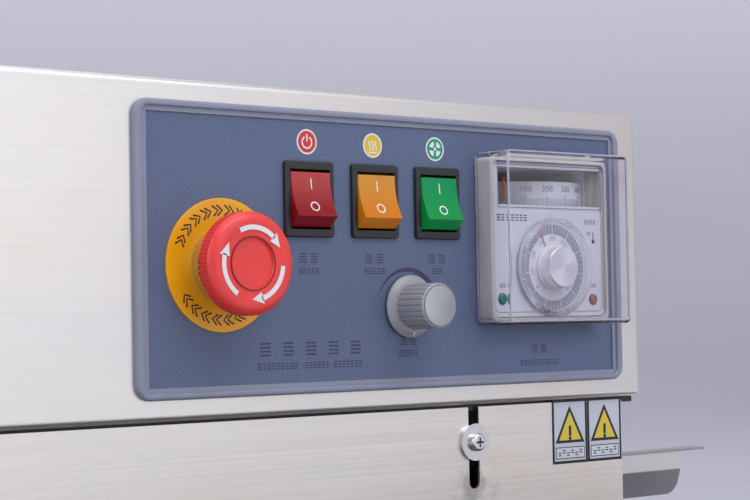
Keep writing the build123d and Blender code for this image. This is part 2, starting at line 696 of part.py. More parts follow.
def block_part(x, length, height, up, fins):
    """A heating or cooling block on two studs, above (up = 1) or below (up = -1) the bands."""
    middle = SEAL_Z + up * (BLOCK_REACH + height / 2)
    with BuildPart() as block:
        with Locations((x, FACE_Y + WHEEL_FRONT + WHEEL_WIDTH / 2, middle)):
            Box(length, WHEEL_WIDTH, height)
        fillet(block.edges().filter_by(Axis.Y), 3)
        if fins:
            with BuildSketch(facing(WHEEL_FRONT - 1, x, middle + up * 3)):
                with GridLocations(8, 0, fins, 1):
                    Rectangle(4, height - 4)
            extrude(amount=-WHEEL_WIDTH - 2, mode=Mode.SUBTRACT)
        with BuildSketch(facing(HEAD_FRONT, x, middle - up * (height / 2 - 5))):
            with GridLocations(length - 16, 0, 2, 1):
                Circle(4)
        extrude(amount=HEAD_FRONT - WHEEL_FRONT - WHEEL_WIDTH)
    return block.part


with BuildPart() as heating_blocks:
    for up in (1, -1):
        add(block_part(HEATER_X, 120, 15, up, 0))
save(heating_blocks, "heating_blocks")

with BuildPart() as cooling_blocks:
    for up in (1, -1):
        add(block_part(COOLER_X, 100, 22, up, 10))
save(cooling_blocks, "cooling_blocks")

with BuildPart() as infeed_guide:
    with Locations(((GUIDE_LEFT + GUIDE_RIGHT) / 2, FACE_Y + GUIDE_FRONT, GUIDE_TOP - 5)):
        Box(GUIDE_RIGHT - GUIDE_LEFT, SHEET, 10)
    # top flange, longer than the web
    flange_y = FACE_Y + GUIDE_FRONT + (FLANGE_DEPTH - SHEET) / 2
    with Locations((GUIDE_TIP - FLANGE_LENGTH / 2, flange_y, GUIDE_TOP - SHEET / 2)):
        Box(FLANGE_LENGTH, FLANGE_DEPTH, SHEET)
    # foot against the head plate
    with Locations((GUIDE_LEFT + 11, FACE_Y + 43.1, GUIDE_TOP - 5)):
        Box(14, 3.8, 8)
    # the lip slopes back and down towards the bands, with one rounded corner
    lip_plane = Plane(origin=(LIP_LEFT, FACE_Y + GUIDE_FRONT, LIP_TOP), x_dir=(1, 0, 0), z_dir=(0, 13, 3.9))
    with BuildSketch(lip_plane) as lip:
        with Locations(((GUIDE_RIGHT - LIP_LEFT) / 2, LIP_DEPTH / 2)):
            Rectangle(GUIDE_RIGHT - LIP_LEFT, LIP_DEPTH)
        fillet(lip.vertices().group_by(Axis.Y)[-1].sort_by(Axis.X)[-1:], 7)
    extrude(amount=SHEET / 2, both=True)
save(infeed_guide, "infeed_guide")

# ---------------------------------------------------------------- base
with BuildPart() as base_plate:
    with BuildSketch(Plane.XY.offset(BASE_TOP - BASE_THICK)):
        with Locations((0, FACE_Y + (HOUSING_BACK - 150) / 2)):
            RectangleRounded(2 * HEAD_HALF, HOUSING_BACK + 150, 8)
    extrude(amount=BASE_THICK)
save(base_plate, "base_plate")

with BuildPart() as base_housing:
    depth = HOUSING_BACK - HEAD_BACK
    with BuildSketch(Plane.XY.offset(BASE_TOP)):
        with Locations((0, FACE_Y + HEAD_BACK + depth / 2)):
            Rectangle(2 * HEAD_HALF, depth)
    extrude(amount=FLOOR_BOTTOM - BASE_TOP)
    fillet(base_housing.edges().filter_by(Axis.Z).group_by(Axis.Y)[-1], 4)
    with BuildSketch(Plane.XY.offset(BASE_TOP)):
        with Locations((0, FACE_Y + HEAD_BACK + (depth - HOUSING_SHEET) / 2)):
            Rectangle(2 * (HEAD_HALF - HOUSING_SHEET), depth - HOUSING_SHEET)
    extrude(amount=FLOOR_BOTTOM - BASE_TOP - HOUSING_SHEET, mode=Mode.SUBTRACT)
    with BuildSketch(facing(HOUSING_BACK + 1)):
        with Locations((FAN_X, FAN_Z)):
            for ring in range(1, 6):
                with PolarLocations(6.6 * ring, 6 * ring):
                    Circle(2.5)
        with Locations((-200, 62)):
            Rectangle(28.4, 20.6)
    extrude(amount=10, mode=Mode.SUBTRACT)
    with BuildSketch(Plane.YZ.offset(-HEAD_HALF - 1)):
        with Locations((FACE_Y + 140, 120)):
            with GridLocations(0, 10, 1, 6):
                SlotOverall(90, 3.4)
    extrude(amount=2 * HEAD_HALF + 2, mode=Mode.SUBTRACT)
    with BuildSketch(Plane.XY.offset(FLOOR_BOTTOM - 3)):
        with Locations((150, FACE_Y + 140)):
            Circle(18)
    extrude(amount=6, mode=Mode.SUBTRACT)
save(base_housing, "base_housing")

with BuildPart() as rubber_feet:
    for x in (-236, 236):
        for depth in (-128, 206):
            with BuildSketch(Plane((x, FACE_Y + depth, 0))):
                Circle(13)
            extrude(amount=BASE_TOP - BASE_THICK, taper=-8)
save(rubber_feet, "rubber_feet")

with BuildPart() as gearbox:
    with BuildSketch(facing(66, PINION_X, LOWER_Z)):
        RectangleRounded(62, 62, 5)
    extrude(amount=-40)
    with BuildSketch(facing(106, PINION_X, (BASE_TOP + LOWER_Z - 31) / 2)):
        Rectangle(40, LOWER_Z - 31 - BASE_TOP)
    extrude(amount=30)
    with BuildSketch(facing(HEAD_BACK, PINION_X + 22, LOWER_Z)):
        with GridLocations(0, 48, 1, 2):
            Circle(4)
    extrude(amount=-16)
    with BuildSketch(facing(65, PINION_X, LOWER_Z)):
        Circle(5.1)
    extrude(amount=-21, mode=Mode.SUBTRACT)
save(gearbox, "gearbox")

with BuildPart() as motor:
    with BuildSketch(facing(106, PINION_X, LOWER_Z)):
        Circle(35)
    extrude(amount=-86)
    fillet(motor.faces().sort_by(Axis.Y)[-1].edges(), 6)
    with BuildSketch(facing(120, PINION_X, LOWER_Z)):
        with PolarLocations(35, 24):
            Rectangle(3, 2)
    extrude(amount=-50, mode=Mode.SUBTRACT)
save(motor, "motor")

with BuildPart() as fan_frame:
    with BuildSketch(facing(HOUSING_BACK - HOUSING_SHEET, FAN_X, FAN_Z)):
        RectangleRounded(FAN_SIZE, FAN_SIZE, 4)
        Circle(37.5, mode=Mode.SUBTRACT)
        with GridLocations(71.5, 71.5, 2, 2):
            Circle(2.2, mode=Mode.SUBTRACT)
    extrude(amount=25)
    with BuildSketch(facing(HOUSING_BACK - HOUSING_SHEET - 22, FAN_X, FAN_Z)):
        Rectangle(76, 5)
        Rectangle(5, 76)
        Circle(14)
    extrude(amount=3)
    with BuildSketch(facing(HOUSING_BACK - HOUSING_SHEET - 22, FAN_X, FAN_Z)):
        Circle(2.0)
    extrude(amount=-14)
save(fan_frame, "fan_frame")

with BuildPart() as fan_rotor:
    with BuildSketch(facing(HOUSING_BACK - HOUSING_SHEET - 1.5, FAN_X, FAN_Z)):
        Circle(17)
    extrude(amount=19)
    for blade in range(7):
        hub = Location((FAN_X, FACE_Y + HOUSING_BACK - HOUSING_SHEET - 11, FAN_Z), (0, blade * 360 / 7, 0))
        with Locations(hub):
            with Locations(Location((24.5, 0, 0), (50, 0, 0))):
                Box(22, 20, 1.6)
    with BuildSketch(facing(HOUSING_BACK - 25, FAN_X, FAN_Z)):
        Circle(2.05)
    extrude(amount=-18, mode=Mode.SUBTRACT)
save(fan_rotor, "fan_rotor")

with BuildPart() as power_inlet:
    with BuildSketch(facing(HOUSING_BACK, -200, 62)):
        RectangleRounded(48, 24, 3)
    extrude(amount=-3)
    with BuildSketch(facing(HOUSING_BACK, -200, 62)):
        Rectangle(28, 20)
    extrude(amount=18)
    with BuildSketch(facing(HOUSING_BACK + 3, -200, 62)):
        RectangleRounded(24.4, 16.6, 3)
    extrude(amount=16, mode=Mode.SUBTRACT)
    with BuildSketch(facing(HOUSING_BACK - 13, -200, 62)):
        with Locations((-7, -2), (0, 2), (7, -2)):
            Rectangle(2, 4)
    extrude(amount=-12)
    with BuildSketch(facing(HOUSING_BACK - 1, -200, 62)):
        with GridLocations(40, 0, 2, 1):
            Circle(1.6)
    extrude(amount=-6, mode=Mode.SUBTRACT)
save(power_inlet, "power_inlet")

# ---------------------------------------------------------------- conveyor
RAIL_THICK = 3.0
RAIL_FRONT = BELT_FRONT - 1 - RAIL_THICK
RAIL_BACK = BELT_BACK + 1
with BuildPart() as conveyor_frame:
    for depth in (RAIL_FRONT, RAIL_BACK):
        with BuildSketch(facing(depth, 0, ROLLER_Z)):
            SlotCenterToCenter(2 * ROLLER_X, 26)
        extrude(amount=-RAIL_THICK)
    bed_middle = FACE_Y + (BELT_FRONT + BELT_BACK) / 2
    with Locations((0, bed_middle, BELT_TOP - BELT_THICK - 1.8)):
        Box(2 * ROLLER_X - 60, BELT_BACK - BELT_FRONT + 2, 2.4)
    with Locations(*[(x, bed_middle, ROLLER_Z) for x in (-COLUMN_X, 0, COLUMN_X)]):
        Box(20, BELT_BACK - BELT_FRONT + 2, 8)
    with BuildSketch(facing(RAIL_FRONT - 5)):
        with Locations((-ROLLER_X, ROLLER_Z), (ROLLER_X, ROLLER_Z)):
            Circle(4.05)
    extrude(amount=-200, mode=Mode.SUBTRACT)
save(conveyor_frame, "conveyor_frame")

for name, x in (("conveyor_drive_roller", -ROLLER_X), ("conveyor_idler_roller", ROLLER_X)):
    with BuildPart() as roller_piece:
        with BuildSketch(facing(BELT_FRONT, x, ROLLER_Z)):
            Circle(ROLLER_RADIUS)
        extrude(amount=BELT_FRONT - BELT_BACK)
        with BuildSketch(facing(RAIL_FRONT - 0.5, x, ROLLER_Z)):
            Circle(4.0)
        extrude(amount=-(RAIL_BACK + RAIL_THICK - RAIL_FRONT + 1))
    save(roller_piece, name)

with BuildPart() as conveyor_belt:
    add(loop_part(ROLLER_X, ROLLER_Z, BELT_INNER, BELT_THICK, BELT_FRONT, BELT_BACK - BELT_FRONT))
save(conveyor_belt, "conveyor_belt")

CRADLE_TOP = 61.0
with BuildPart() as conveyor_cradles:
    for x in (-COLUMN_X, COLUMN_X):
        with Locations((x, bed_middle, CRADLE_TOP - 1.5)):
            Box(40, BELT_BACK - BELT_FRONT + 14, 3)
        for depth in (RAIL_FRONT - 3, RAIL_BACK + RAIL_THICK):
            with Locations((x, FACE_Y + depth + 1.5, 74)):
                Box(40, 3, 32)
        with BuildSketch(Plane((x, FACE_Y + COLUMN_DEPTH, 24))):
            Circle(9)
        extrude(amount=CRADLE_TOP - 24)
save(conveyor_cradles, "conveyor_cradles")

with BuildPart() as conveyor_columns:
    for x in (-COLUMN_X, COLUMN_X):
        with BuildSketch(Plane((x, FACE_Y + COLUMN_DEPTH, BASE_TOP))):
            Circle(13)
        extrude(amount=33)
        with BuildSketch(Plane((x, FACE_Y + COLUMN_DEPTH, BASE_TOP))):
            Circle(24)
        extrude(amount=4)
        with BuildSketch(Plane((x, FACE_Y + COLUMN_DEPTH, BASE_TOP))):
            Circle(9.3)
        extrude(amount=40, mode=Mode.SUBTRACT)
        with BuildSketch(facing(COLUMN_DEPTH, x, KNOB_STEM_Z)):
            Circle(3.06)
        extrude(amount=20, mode=Mode.SUBTRACT)
save(conveyor_columns, "conveyor_columns")

for name, x in (("height_knob_left", -COLUMN_X), ("height_knob_right", COLUMN_X)):
    with BuildPart() as knob_piece:
        with BuildSketch(facing(COLUMN_DEPTH - 9.4, x, KNOB_STEM_Z)):
            Circle(3.0)
        extrude(amount=14)
        with BuildSketch(facing(COLUMN_DEPTH - 18, x, KNOB_STEM_Z)):
            Circle(12)
            with PolarLocations(14.5, 7):
                Circle(4, mode=Mode.SUBTRACT)
        extrude(amount=12)
        fillet(knob_piece.faces().sort_by(Axis.Y)[0].edges(), 1.5)
    save(knob_piece, name)
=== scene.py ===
import bpy
import bmesh
import math
import random
from mathutils import Matrix, Vector


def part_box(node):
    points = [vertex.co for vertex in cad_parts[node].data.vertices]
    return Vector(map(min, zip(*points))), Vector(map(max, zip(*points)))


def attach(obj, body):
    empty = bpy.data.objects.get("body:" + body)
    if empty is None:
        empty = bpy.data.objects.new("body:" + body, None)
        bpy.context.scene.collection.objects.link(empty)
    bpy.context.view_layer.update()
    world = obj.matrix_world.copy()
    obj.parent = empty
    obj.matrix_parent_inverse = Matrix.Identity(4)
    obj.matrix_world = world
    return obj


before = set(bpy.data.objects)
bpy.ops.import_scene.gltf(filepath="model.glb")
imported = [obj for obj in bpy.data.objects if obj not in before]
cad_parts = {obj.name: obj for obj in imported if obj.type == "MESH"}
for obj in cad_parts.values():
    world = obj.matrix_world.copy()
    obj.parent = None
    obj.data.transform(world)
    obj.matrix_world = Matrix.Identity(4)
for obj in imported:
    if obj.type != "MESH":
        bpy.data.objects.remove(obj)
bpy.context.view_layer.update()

MM = 0.001
SCENE = bpy.context.scene
SCENE.view_settings.view_transform = "Standard"

# ------------------------------------------------------------------ places, from the parts' boxes
def span(node):
    low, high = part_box(node)
    return Vector(low), Vector(high)


def middle(node):
    low, high = span(node)
    return (low + high) / 2


BOX_LOW, BOX_HIGH = span("control_box_shell")
FACE_Y = BOX_LOW.y
PANEL_Y = span("panel_plate")[0].y
ESTOP = middle("estop_ring")
KNOB = middle("speed_knob")
METER = middle("controller_case")
METER_FACE_Y = span("controller_face")[0].y
DIAL = middle("controller_dial")
GUARD_LOW = span("guard")[0]
SLOT_X = 175.4 * MM
SLOT_END = GUARD_LOW.z + 21.0 * MM
GUIDE_TOP = span("infeed_guide")[1].z
LIP_TOP = GUIDE_TOP - 9.6 * MM
ROCKERS = {name: middle("rocker_" + name) for name in ("power", "heater", "fan")}
ROCKER_COLOURS = {"power": "red", "heater": "amber", "fan": "green"}


# ------------------------------------------------------------------ node materials
class Paint:
    """A Principled material with the helpers that the materials below share."""

    def __init__(self, name):
        self.mat = bpy.data.materials.new(name)
        self.mat.use_nodes = True
        self.tree = self.mat.node_tree
        self.bsdf = self.tree.nodes["Principled BSDF"]
        self.coord = self.tree.nodes.new("ShaderNodeTexCoord").outputs["Object"]

    def node(self, kind, **settings):
        made = self.tree.nodes.new(kind)
        for key, value in settings.items():
            setattr(made, key, value)
        return made

    def link(self, source, target):
        self.tree.links.new(source, target)

    def set(self, **sockets):
        for key, value in sockets.items():
            self.bsdf.inputs[key.replace("_", " ")].default_value = value

    def mapped(self, scale):
        mapping = self.node("ShaderNodeMapping")
        mapping.inputs["Scale"].default_value = scale
        self.link(self.coord, mapping.inputs["Vector"])
        return mapping.outputs["Vector"]

    def part(self, source, axis):
        """One axis of a vector output."""
        made = self.node("ShaderNodeSeparateXYZ")
        self.link(source, made.inputs["Vector"])
        return made.outputs[axis]

    def ratio(self, source, low, high):
        """0 at low, 1 at high, held at the ends."""
        made = self.node("ShaderNodeMapRange")
        made.inputs["From Min"].default_value = low
        made.inputs["From Max"].default_value = high
        self.link(source, made.inputs["Value"])
        return made.outputs["Result"]

    def whole(self):
        """Position inside the piece's own box, 0 to 1 on each axis."""
        return self.node("ShaderNodeTexCoord").outputs["Generated"]

    def calc(self, first, second, operation="ADD"):
        """One Math node on two values, each a number or an output."""
        made = self.node("ShaderNodeMath", operation=operation)
        for value, socket in ((first, made.inputs[0]), (second, made.inputs[1])):
            if isinstance(value, (int, float)):
                socket.default_value = value
            else:
                self.link(value, socket)
        return made.outputs["Value"]

    def noise(self, scale, detail=4.0, stretch=(1, 1, 1), rough=0.55):
        made = self.node("ShaderNodeTexNoise")
        made.inputs["Scale"].default_value = scale
        made.inputs["Detail"].default_value = detail
        made.inputs["Roughness"].default_value = rough
        self.link(self.mapped(stretch), made.inputs["Vector"])
        return made.outputs["Fac"]

    def ramp(self, source, stops):
        made = self.node("ShaderNodeValToRGB")
        elements = made.color_ramp.elements
        while len(elements) < len(stops):
            elements.new(0.5)
        for element, (place, colour) in zip(elements, stops):
            element.position = place
            element.color = (*colour, 1.0)
        self.link(source, made.inputs["Fac"])
        return made.outputs["Color"]

    def range(self, source, low, high):
        """low where the source is 0, high where it is 1."""
        made = self.node("ShaderNodeMapRange")
        made.inputs["To Min"].default_value = low
        made.inputs["To Max"].default_value = high
        self.link(source, made.inputs["Value"])
        return made.outputs["Result"]

    def mix(self, amount, first, second, blend="MIX"):
        made = self.node("ShaderNodeMix", data_type="RGBA", blend_type=blend)
        if isinstance(amount, float):
            made.inputs["Factor"].default_value = amount
        else:
            self.link(amount, made.inputs["Factor"])
        for value, socket in ((first, made.inputs[6]), (second, made.inputs[7])):
            if isinstance(value, tuple):
                socket.default_value = (*value, 1.0)
            else:
                self.link(value, socket)
        return made.outputs[2]

    def patches(self, colour, scale=6.5):
        """Faint warm and cool patches, as handled sheet metal has."""
        place = self.noise(scale, 4.0, (1, 1, 1.6), 0.6)
        warm, plain, cool = (1.0, 0.955, 0.905), (1.0, 1.0, 1.0), (0.945, 0.975, 1.0)
        tint = self.ramp(place, [(0.36, warm), (0.5, plain), (0.64, cool)])
        return self.mix(1.0, colour, tint, "MULTIPLY")

    def bump(self, height, strength, distance=0.0002, under=None):
        made = self.node("ShaderNodeBump")
        made.inputs["Strength"].default_value = strength
        made.inputs["Distance"].default_value = distance
        self.link(height, made.inputs["Height"])
        if under is not None:
            self.link(under, made.inputs["Normal"])
        return made.outputs["Normal"]

    def finish(self, colour=None, rough=None, normal=None):
        if colour is not None:
            self.link(colour, self.bsdf.inputs["Base Color"])
        if rough is not None:
            self.link(rough, self.bsdf.inputs["Roughness"])
        if normal is not None:
            self.link(normal, self.bsdf.inputs["Normal"])
        return self.mat


def brushed(name, tone, grain=(3, 3, 900), rough=(0.30, 0.42)):
    """Metal with a straight grain along the axes whose stretch is smallest."""
    p = Paint(name)
    p.set(Metallic=1.0)
    hair = p.noise(1.0, 6.0, grain, 0.6)
    coarse = p.noise(1.0, 3.0, tuple(g * 0.22 for g in grain), 0.5)
    cloud = p.noise(9.0, 3.0)
    dark = tuple(c * 0.955 for c in tone)
    light = tuple(min(1.0, c * 1.03) for c in tone)
    streaks = p.ramp(hair, [(0.32, dark), (0.5, tone), (0.68, light)])
    mottled = p.mix(p.range(cloud, 0.0, 0.22), streaks, tuple(c * 0.86 for c in tone))
    banded = p.patches(p.mix(p.range(coarse, 0.0, 0.10), mottled, light))
    roughness = p.range(hair, *rough)
    fine = p.bump(hair, 0.10, 0.00008)
    return p.finish(banded, roughness, p.bump(coarse, 0.02, 0.00004, fine))


def plastic(name, colour, grain=2200.0, strength=0.12, rough=(0.38, 0.5), vary=0.12):
    """Moulded plastic with a fine spark-eroded texture and faint handling marks."""
    p = Paint(name)
    fine = p.noise(grain, 2.0)
    marks = p.noise(60.0, 5.0)
    shade = p.ramp(marks, [(0.3, tuple(c * (1 - vary) for c in colour)), (0.7, colour)])
    return p.finish(shade, p.range(marks, *rough), p.bump(fine, strength, 0.00005))


def painted(name, colour, orange_peel=350.0, strength=0.10, rough=(0.32, 0.45), vary=0.10):
    """Powder coat or enamel with orange peel and a little dust."""
    p = Paint(name)
    peel = p.noise(orange_peel, 2.0)
    dust = p.noise(14.0, 6.0)
    shade = p.ramp(dust, [(0.25, tuple(c * (1 - vary) for c in colour)), (0.75, colour)])
    return p.finish(shade, p.range(dust, *rough), p.bump(peel, strength, 0.0002))


def dress(material, *nodes):
    for name in nodes:
        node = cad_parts[name]
        node.data.materials.clear()
        node.data.materials.append(material)


def speckled(name, colour, rough):
    """Screen-printed sheet with a coarse leather texture that sparkles a little."""
    p = Paint(name)
    leather = p.noise(1350.0, 3.0, rough=0.6)
    cloud = p.noise(16.0, 4.0)
    dark = tuple(c * 0.80 for c in colour)
    light = tuple(min(1.0, c * 1.20 + 0.008) for c in colour)
    grain = p.ramp(leather, [(0.34, dark), (0.5, colour), (0.68, light)])
    shade = p.mix(p.range(cloud, 0.0, 0.35), grain, tuple(c * 0.78 for c in colour))
    return p.finish(shade, p.range(leather, *rough), p.bump(leather, 0.55, 0.00009))


def lens(name, deep, painted_lit_tone):
    """Tinted rocker with painted light: paler towards its top, as if lit from above, and finely gridded
    there, deep colour below, with a faint painted glow in the same colours.
    """
    p = Paint(name)
    # painted glow: a faint emission in the rocker's own painted colours
    p.set(Coat_Weight=0.15, Coat_Roughness=0.06, IOR=1.38, Emission_Strength=0.10)
    place = p.whole()
    height = p.part(place, "Z")

    def ridges(way, count):
        wave = p.calc(p.calc(way, count * 2 * math.pi, "MULTIPLY"), 0.0, "SINE")
        return p.calc(wave, 0.72, "GREATER_THAN")

    # painted light: the colour turns to the pale lit tone towards the top
    rise = p.ratio(height, 0.30, 0.98)
    ribs = p.calc(ridges(p.part(place, "X"), 16.0), ridges(height, 19.0), "MAXIMUM")
    cloud = p.noise(180.0, 3.0)
    ground = p.mix(rise, deep, painted_lit_tone)
    lined = p.mix(p.calc(ribs, p.range(rise, 0.12, 0.42), "MULTIPLY"), ground, deep)
    shade = p.mix(p.range(cloud, 0.0, 0.25), lined, tuple(c * 0.6 for c in deep))
    p.link(ground, p.bsdf.inputs["Emission Color"])
    return p.finish(shade, p.range(cloud, 0.14, 0.22), p.bump(ribs, 0.12, 0.00004))


def spun(name, tone, rough=(0.22, 0.32), anisotropy=0.75):
    """Metal turned on a lathe, with a bow of light across its end."""
    p = Paint(name)
    p.set(Metallic=1.0, Anisotropic=anisotropy)
    tangent = p.node("ShaderNodeTangent", direction_type="RADIAL", axis="Y")
    p.link(tangent.outputs["Tangent"], p.bsdf.inputs["Tangent"])
    rings = p.node("ShaderNodeTexWave", wave_type="RINGS", rings_direction="Y")
    rings.inputs["Scale"].default_value = 26.0
    rings.inputs["Distortion"].default_value = 0.4
    centred = p.node("ShaderNodeVectorMath", operation="SUBTRACT")
    p.link(p.whole(), centred.inputs[0])
    centred.inputs[1].default_value = (0.5, 0.5, 0.5)
    p.link(centred.outputs["Vector"], rings.inputs["Vector"])
    turned = rings.outputs["Fac"]
    shade = p.ramp(turned, [(0.2, tuple(c * 0.90 for c in tone)), (0.8, tone)])
    return p.finish(shade, p.range(turned, *rough), None)


STEEL = brushed("brushed stainless", (0.80, 0.77, 0.73), (4, 4, 1500))
dress(STEEL, "control_box_shell", "control_box_rear", "conveyor_frame")
# painted shade: the brackets seen through the guard's slots are near black with little shine, standing for
# the shade behind the slots
BRACKET_PAINTED_SHADE = plastic("bracket painted shade black", (0.003, 0.003, 0.004), rough=(0.6, 0.7))
BRACKET_PAINTED_SHADE.node_tree.nodes["Principled BSDF"].inputs["Specular IOR Level"].default_value = 0.08
dress(BRACKET_PAINTED_SHADE, "guard_brackets")


def guide_steel():
    """Folded guide: bright web, with painted shade darkening the sloping lip below it and a painted dark line
    along the plate edge on top.
    """
    p = Paint("guide steel with painted shade")
    p.set(Metallic=0.8)
    hair = p.noise(1.0, 5.0, (3, 3, 900), 0.6)
    web = p.ramp(hair, [(0.3, (0.66, 0.64, 0.63)), (0.7, (0.72, 0.70, 0.69))])
    height = p.part(p.coord, "Z")
    # painted shade: below LIP_TOP the lip is darkened, and a painted dark line runs along the plate edge at
    # the top
    lip_painted_shade = p.mix(p.ratio(height, LIP_TOP, LIP_TOP - 0.8 * MM), web, (0.27, 0.25, 0.28))
    top_edge_painted_shade = p.mix(p.ratio(height, GUIDE_TOP - 1.5 * MM, GUIDE_TOP - 1.1 * MM), lip_painted_shade, (0.38, 0.36, 0.38))
    return p.finish(top_edge_painted_shade, p.range(hair, 0.36, 0.48), p.bump(hair, 0.08, 0.00006))


dress(guide_steel(), "infeed_guide")


def worn_steel():
    """Guard sheet: brushed like the box, with grey rub marks round the lower ends of its slots."""
    p = Paint("guard steel")
    p.set(Metallic=1.0)
    hair = p.noise(1.0, 6.0, (3, 3, 900), 0.6)
    cloud = p.noise(13.0, 4.0)
    blot = p.noise(95.0, 4.0)
    dark, tone, light = (0.76, 0.73, 0.69), (0.82, 0.79, 0.75), (0.87, 0.84, 0.80)
    streaks = p.ramp(hair, [(0.32, dark), (0.5, tone), (0.68, light)])
    tinted = p.mix(p.range(cloud, 0.0, 0.35), streaks, (0.70, 0.65, 0.59))
    from_slot = p.calc(p.calc(p.part(p.coord, "X"), 0.0, "ABSOLUTE"), SLOT_X, "SUBTRACT")
    from_end = p.calc(p.part(p.coord, "Z"), SLOT_END, "SUBTRACT")
    reach = p.calc(p.calc(from_slot, from_slot, "MULTIPLY"), p.calc(from_end, from_end, "MULTIPLY"))
    spread = p.ratio(p.calc(reach, 0.0, "SQRT"), 0.017, 0.005)
    patch = p.calc(spread, p.ratio(blot, 0.42, 0.58), "MULTIPLY")
    worn = p.mix(p.calc(patch, 0.55, "MULTIPLY"), tinted, (0.33, 0.32, 0.33))
    rough = p.calc(p.range(hair, 0.33, 0.45), p.calc(patch, 0.2, "MULTIPLY"))
    return p.finish(p.patches(worn), rough, p.bump(hair, 0.10, 0.00008))


dress(worn_steel(), "guard")
# painted shade: the box's floor plate is near black, standing for the shadowed strip under the box's lower
# edge
dress(plastic("box floor painted shade", (0.018, 0.018, 0.022)), "control_box_floor")
dress(speckled("panel blue", (0.100, 0.135, 0.240), (0.42, 0.54)), "panel_plate")
dress(plastic("frame grey", (0.25, 0.27, 0.36), 1800.0, 0.1, (0.35, 0.45), 0.06), "panel_frame")
dress(plastic("ring yellow", (0.93, 0.42, 0.003), 900.0, 0.05, (0.28, 0.4), 0.10), "estop_ring")
dress(plastic("head red", (0.86, 0.050, 0.045), 1200.0, 0.05, (0.28, 0.38), 0.10), "estop_head")
dress(brushed("collar silver", (0.74, 0.74, 0.76), (300, 300, 300), (0.2, 0.3)), "estop_collar",
      "guard_screws")
dress(plastic("black plastic", (0.02, 0.02, 0.023)), "estop_body", "estop_plunger", "switch_housings",
      "speed_potentiometer", "power_inlet", "fan_frame", "fan_rotor", "height_knob_left", "height_knob_right")
dress(lens("rocker red", (0.24, 0.001, 0.003), (0.50, 0.075, 0.075)), "rocker_power")
dress(lens("rocker amber", (0.60, 0.18, 0.002), (0.62, 0.30, 0.05)), "rocker_heater")
dress(lens("rocker green", (0.0, 0.27, 0.05), (0.0, 0.27, 0.10)), "rocker_fan")
dress(plastic("knob grey", (0.36, 0.365, 0.41), 1500.0, 0.08, (0.30, 0.42), 0.12), "speed_knob")


def case_beige():
    """Moulded case: beige outside, with painted light turning it near white where it lines the window behind
    the panel.
    """
    p = Paint("case beige with painted light")
    marks = p.noise(60.0, 5.0)
    shade = p.ramp(marks, [(0.3, (0.47, 0.45, 0.415)), (0.7, (0.52, 0.50, 0.46))])
    # painted light: everything behind the panel face is turned near white
    lined = p.mix(p.ratio(p.part(p.coord, "Y"), FACE_Y, FACE_Y + 1 * MM), shade, (0.96, 0.96, 0.95))
    return p.finish(lined, p.range(marks, 0.35, 0.5), p.bump(p.noise(1500.0, 2.0), 0.1, 0.00005))


dress(case_beige(), "controller_case")
dress(plastic("movement white", (0.78, 0.77, 0.76), 1500.0, 0.1, (0.35, 0.5), 0.05), "controller_movement")
dress(painted("face white", (0.56, 0.58, 0.62), 900.0, 0.04, (0.3, 0.4), 0.04), "controller_face",
      "controller_scale")
dress(plastic("needle red", (0.85, 0.10, 0.04)), "controller_needle")
dress(brushed("turned steel", (0.62, 0.62, 0.63), (500, 500, 500), (0.25, 0.35)), "speed_spindle",
      "shaft_bearings", "conveyor_drive_roller", "conveyor_idler_roller", "upper_drive_gear",
      "lower_drive_gear", "motor_pinion")
dress(plastic("band brown", (0.23, 0.13, 0.06), 2500.0, 0.3), "seal_bands")
dress(plastic("wheel rubber", (0.03, 0.03, 0.033), 800.0, 0.2), "upper_drive_wheel", "lower_drive_wheel",
      "upper_idler_wheel", "lower_idler_wheel", "upper_pinch_wheel", "lower_pinch_wheel", "rubber_feet")
dress(brushed("machined aluminium", (0.70, 0.71, 0.72), (4, 700, 700), (0.3, 0.42)), "head_plate",
      "cooling_blocks", "conveyor_columns", "gearbox")
dress(brushed("block brass", (0.68, 0.49, 0.22), (4, 700, 700), (0.3, 0.4)), "heating_blocks")
dress(painted("base paint", (0.50, 0.51, 0.53)), "base_housing", "base_plate", "conveyor_cradles")
dress(painted("motor enamel", (0.04, 0.05, 0.06)), "motor")
dress(plastic("belt", (0.03, 0.035, 0.04), 1200.0, 0.5), "conveyor_belt")


def clear_plastic(name, tint, ribs=0.0, ior=1.20):
    """Clear moulding; ribs gives the number of fine grooves round a turned piece."""
    p = Paint(name)
    p.set(Base_Color=(*tint, 1.0), IOR=ior, Transmission_Weight=1.0, Coat_Weight=1.0, Coat_IOR=1.45,
          Coat_Roughness=0.03)
    path = p.node("ShaderNodeLightPath")
    through = p.node("ShaderNodeBsdfTransparent")
    through.inputs["Color"].default_value = (*tint, 1.0)
    blend = p.node("ShaderNodeMixShader")
    output = p.tree.nodes["Material Output"]
    p.link(path.outputs["Is Shadow Ray"], blend.inputs["Fac"])
    p.link(p.bsdf.outputs["BSDF"], blend.inputs[1])
    p.link(through.outputs["BSDF"], blend.inputs[2])
    p.link(blend.outputs["Shader"], output.inputs["Surface"])
    scuffs = p.noise(40.0, 5.0)
    # painted edge shading: the colour turns darker and lavender where the surface is seen edge-on, standing
    # for the light and dark lines along the moulding's edges
    facing = p.node("ShaderNodeLayerWeight").outputs["Facing"]
    colour = p.ramp(facing, [(0.55, tint), (0.85, tuple(c * 0.86 for c in tint)), (1.0, (0.50, 0.47, 0.66))])
    normal = None
    if ribs:
        place = p.whole()
        up = p.calc(p.part(place, "Z"), 0.5, "SUBTRACT")
        across = p.calc(p.part(place, "X"), 0.5, "SUBTRACT")
        angle = p.calc(up, across, "ARCTAN2")
        normal = p.bump(p.calc(p.calc(angle, ribs / 2, "MULTIPLY"), 0.0, "SINE"), 0.35, 0.0002)
    return p.finish(colour, p.range(scuffs, 0.02, 0.07), normal)


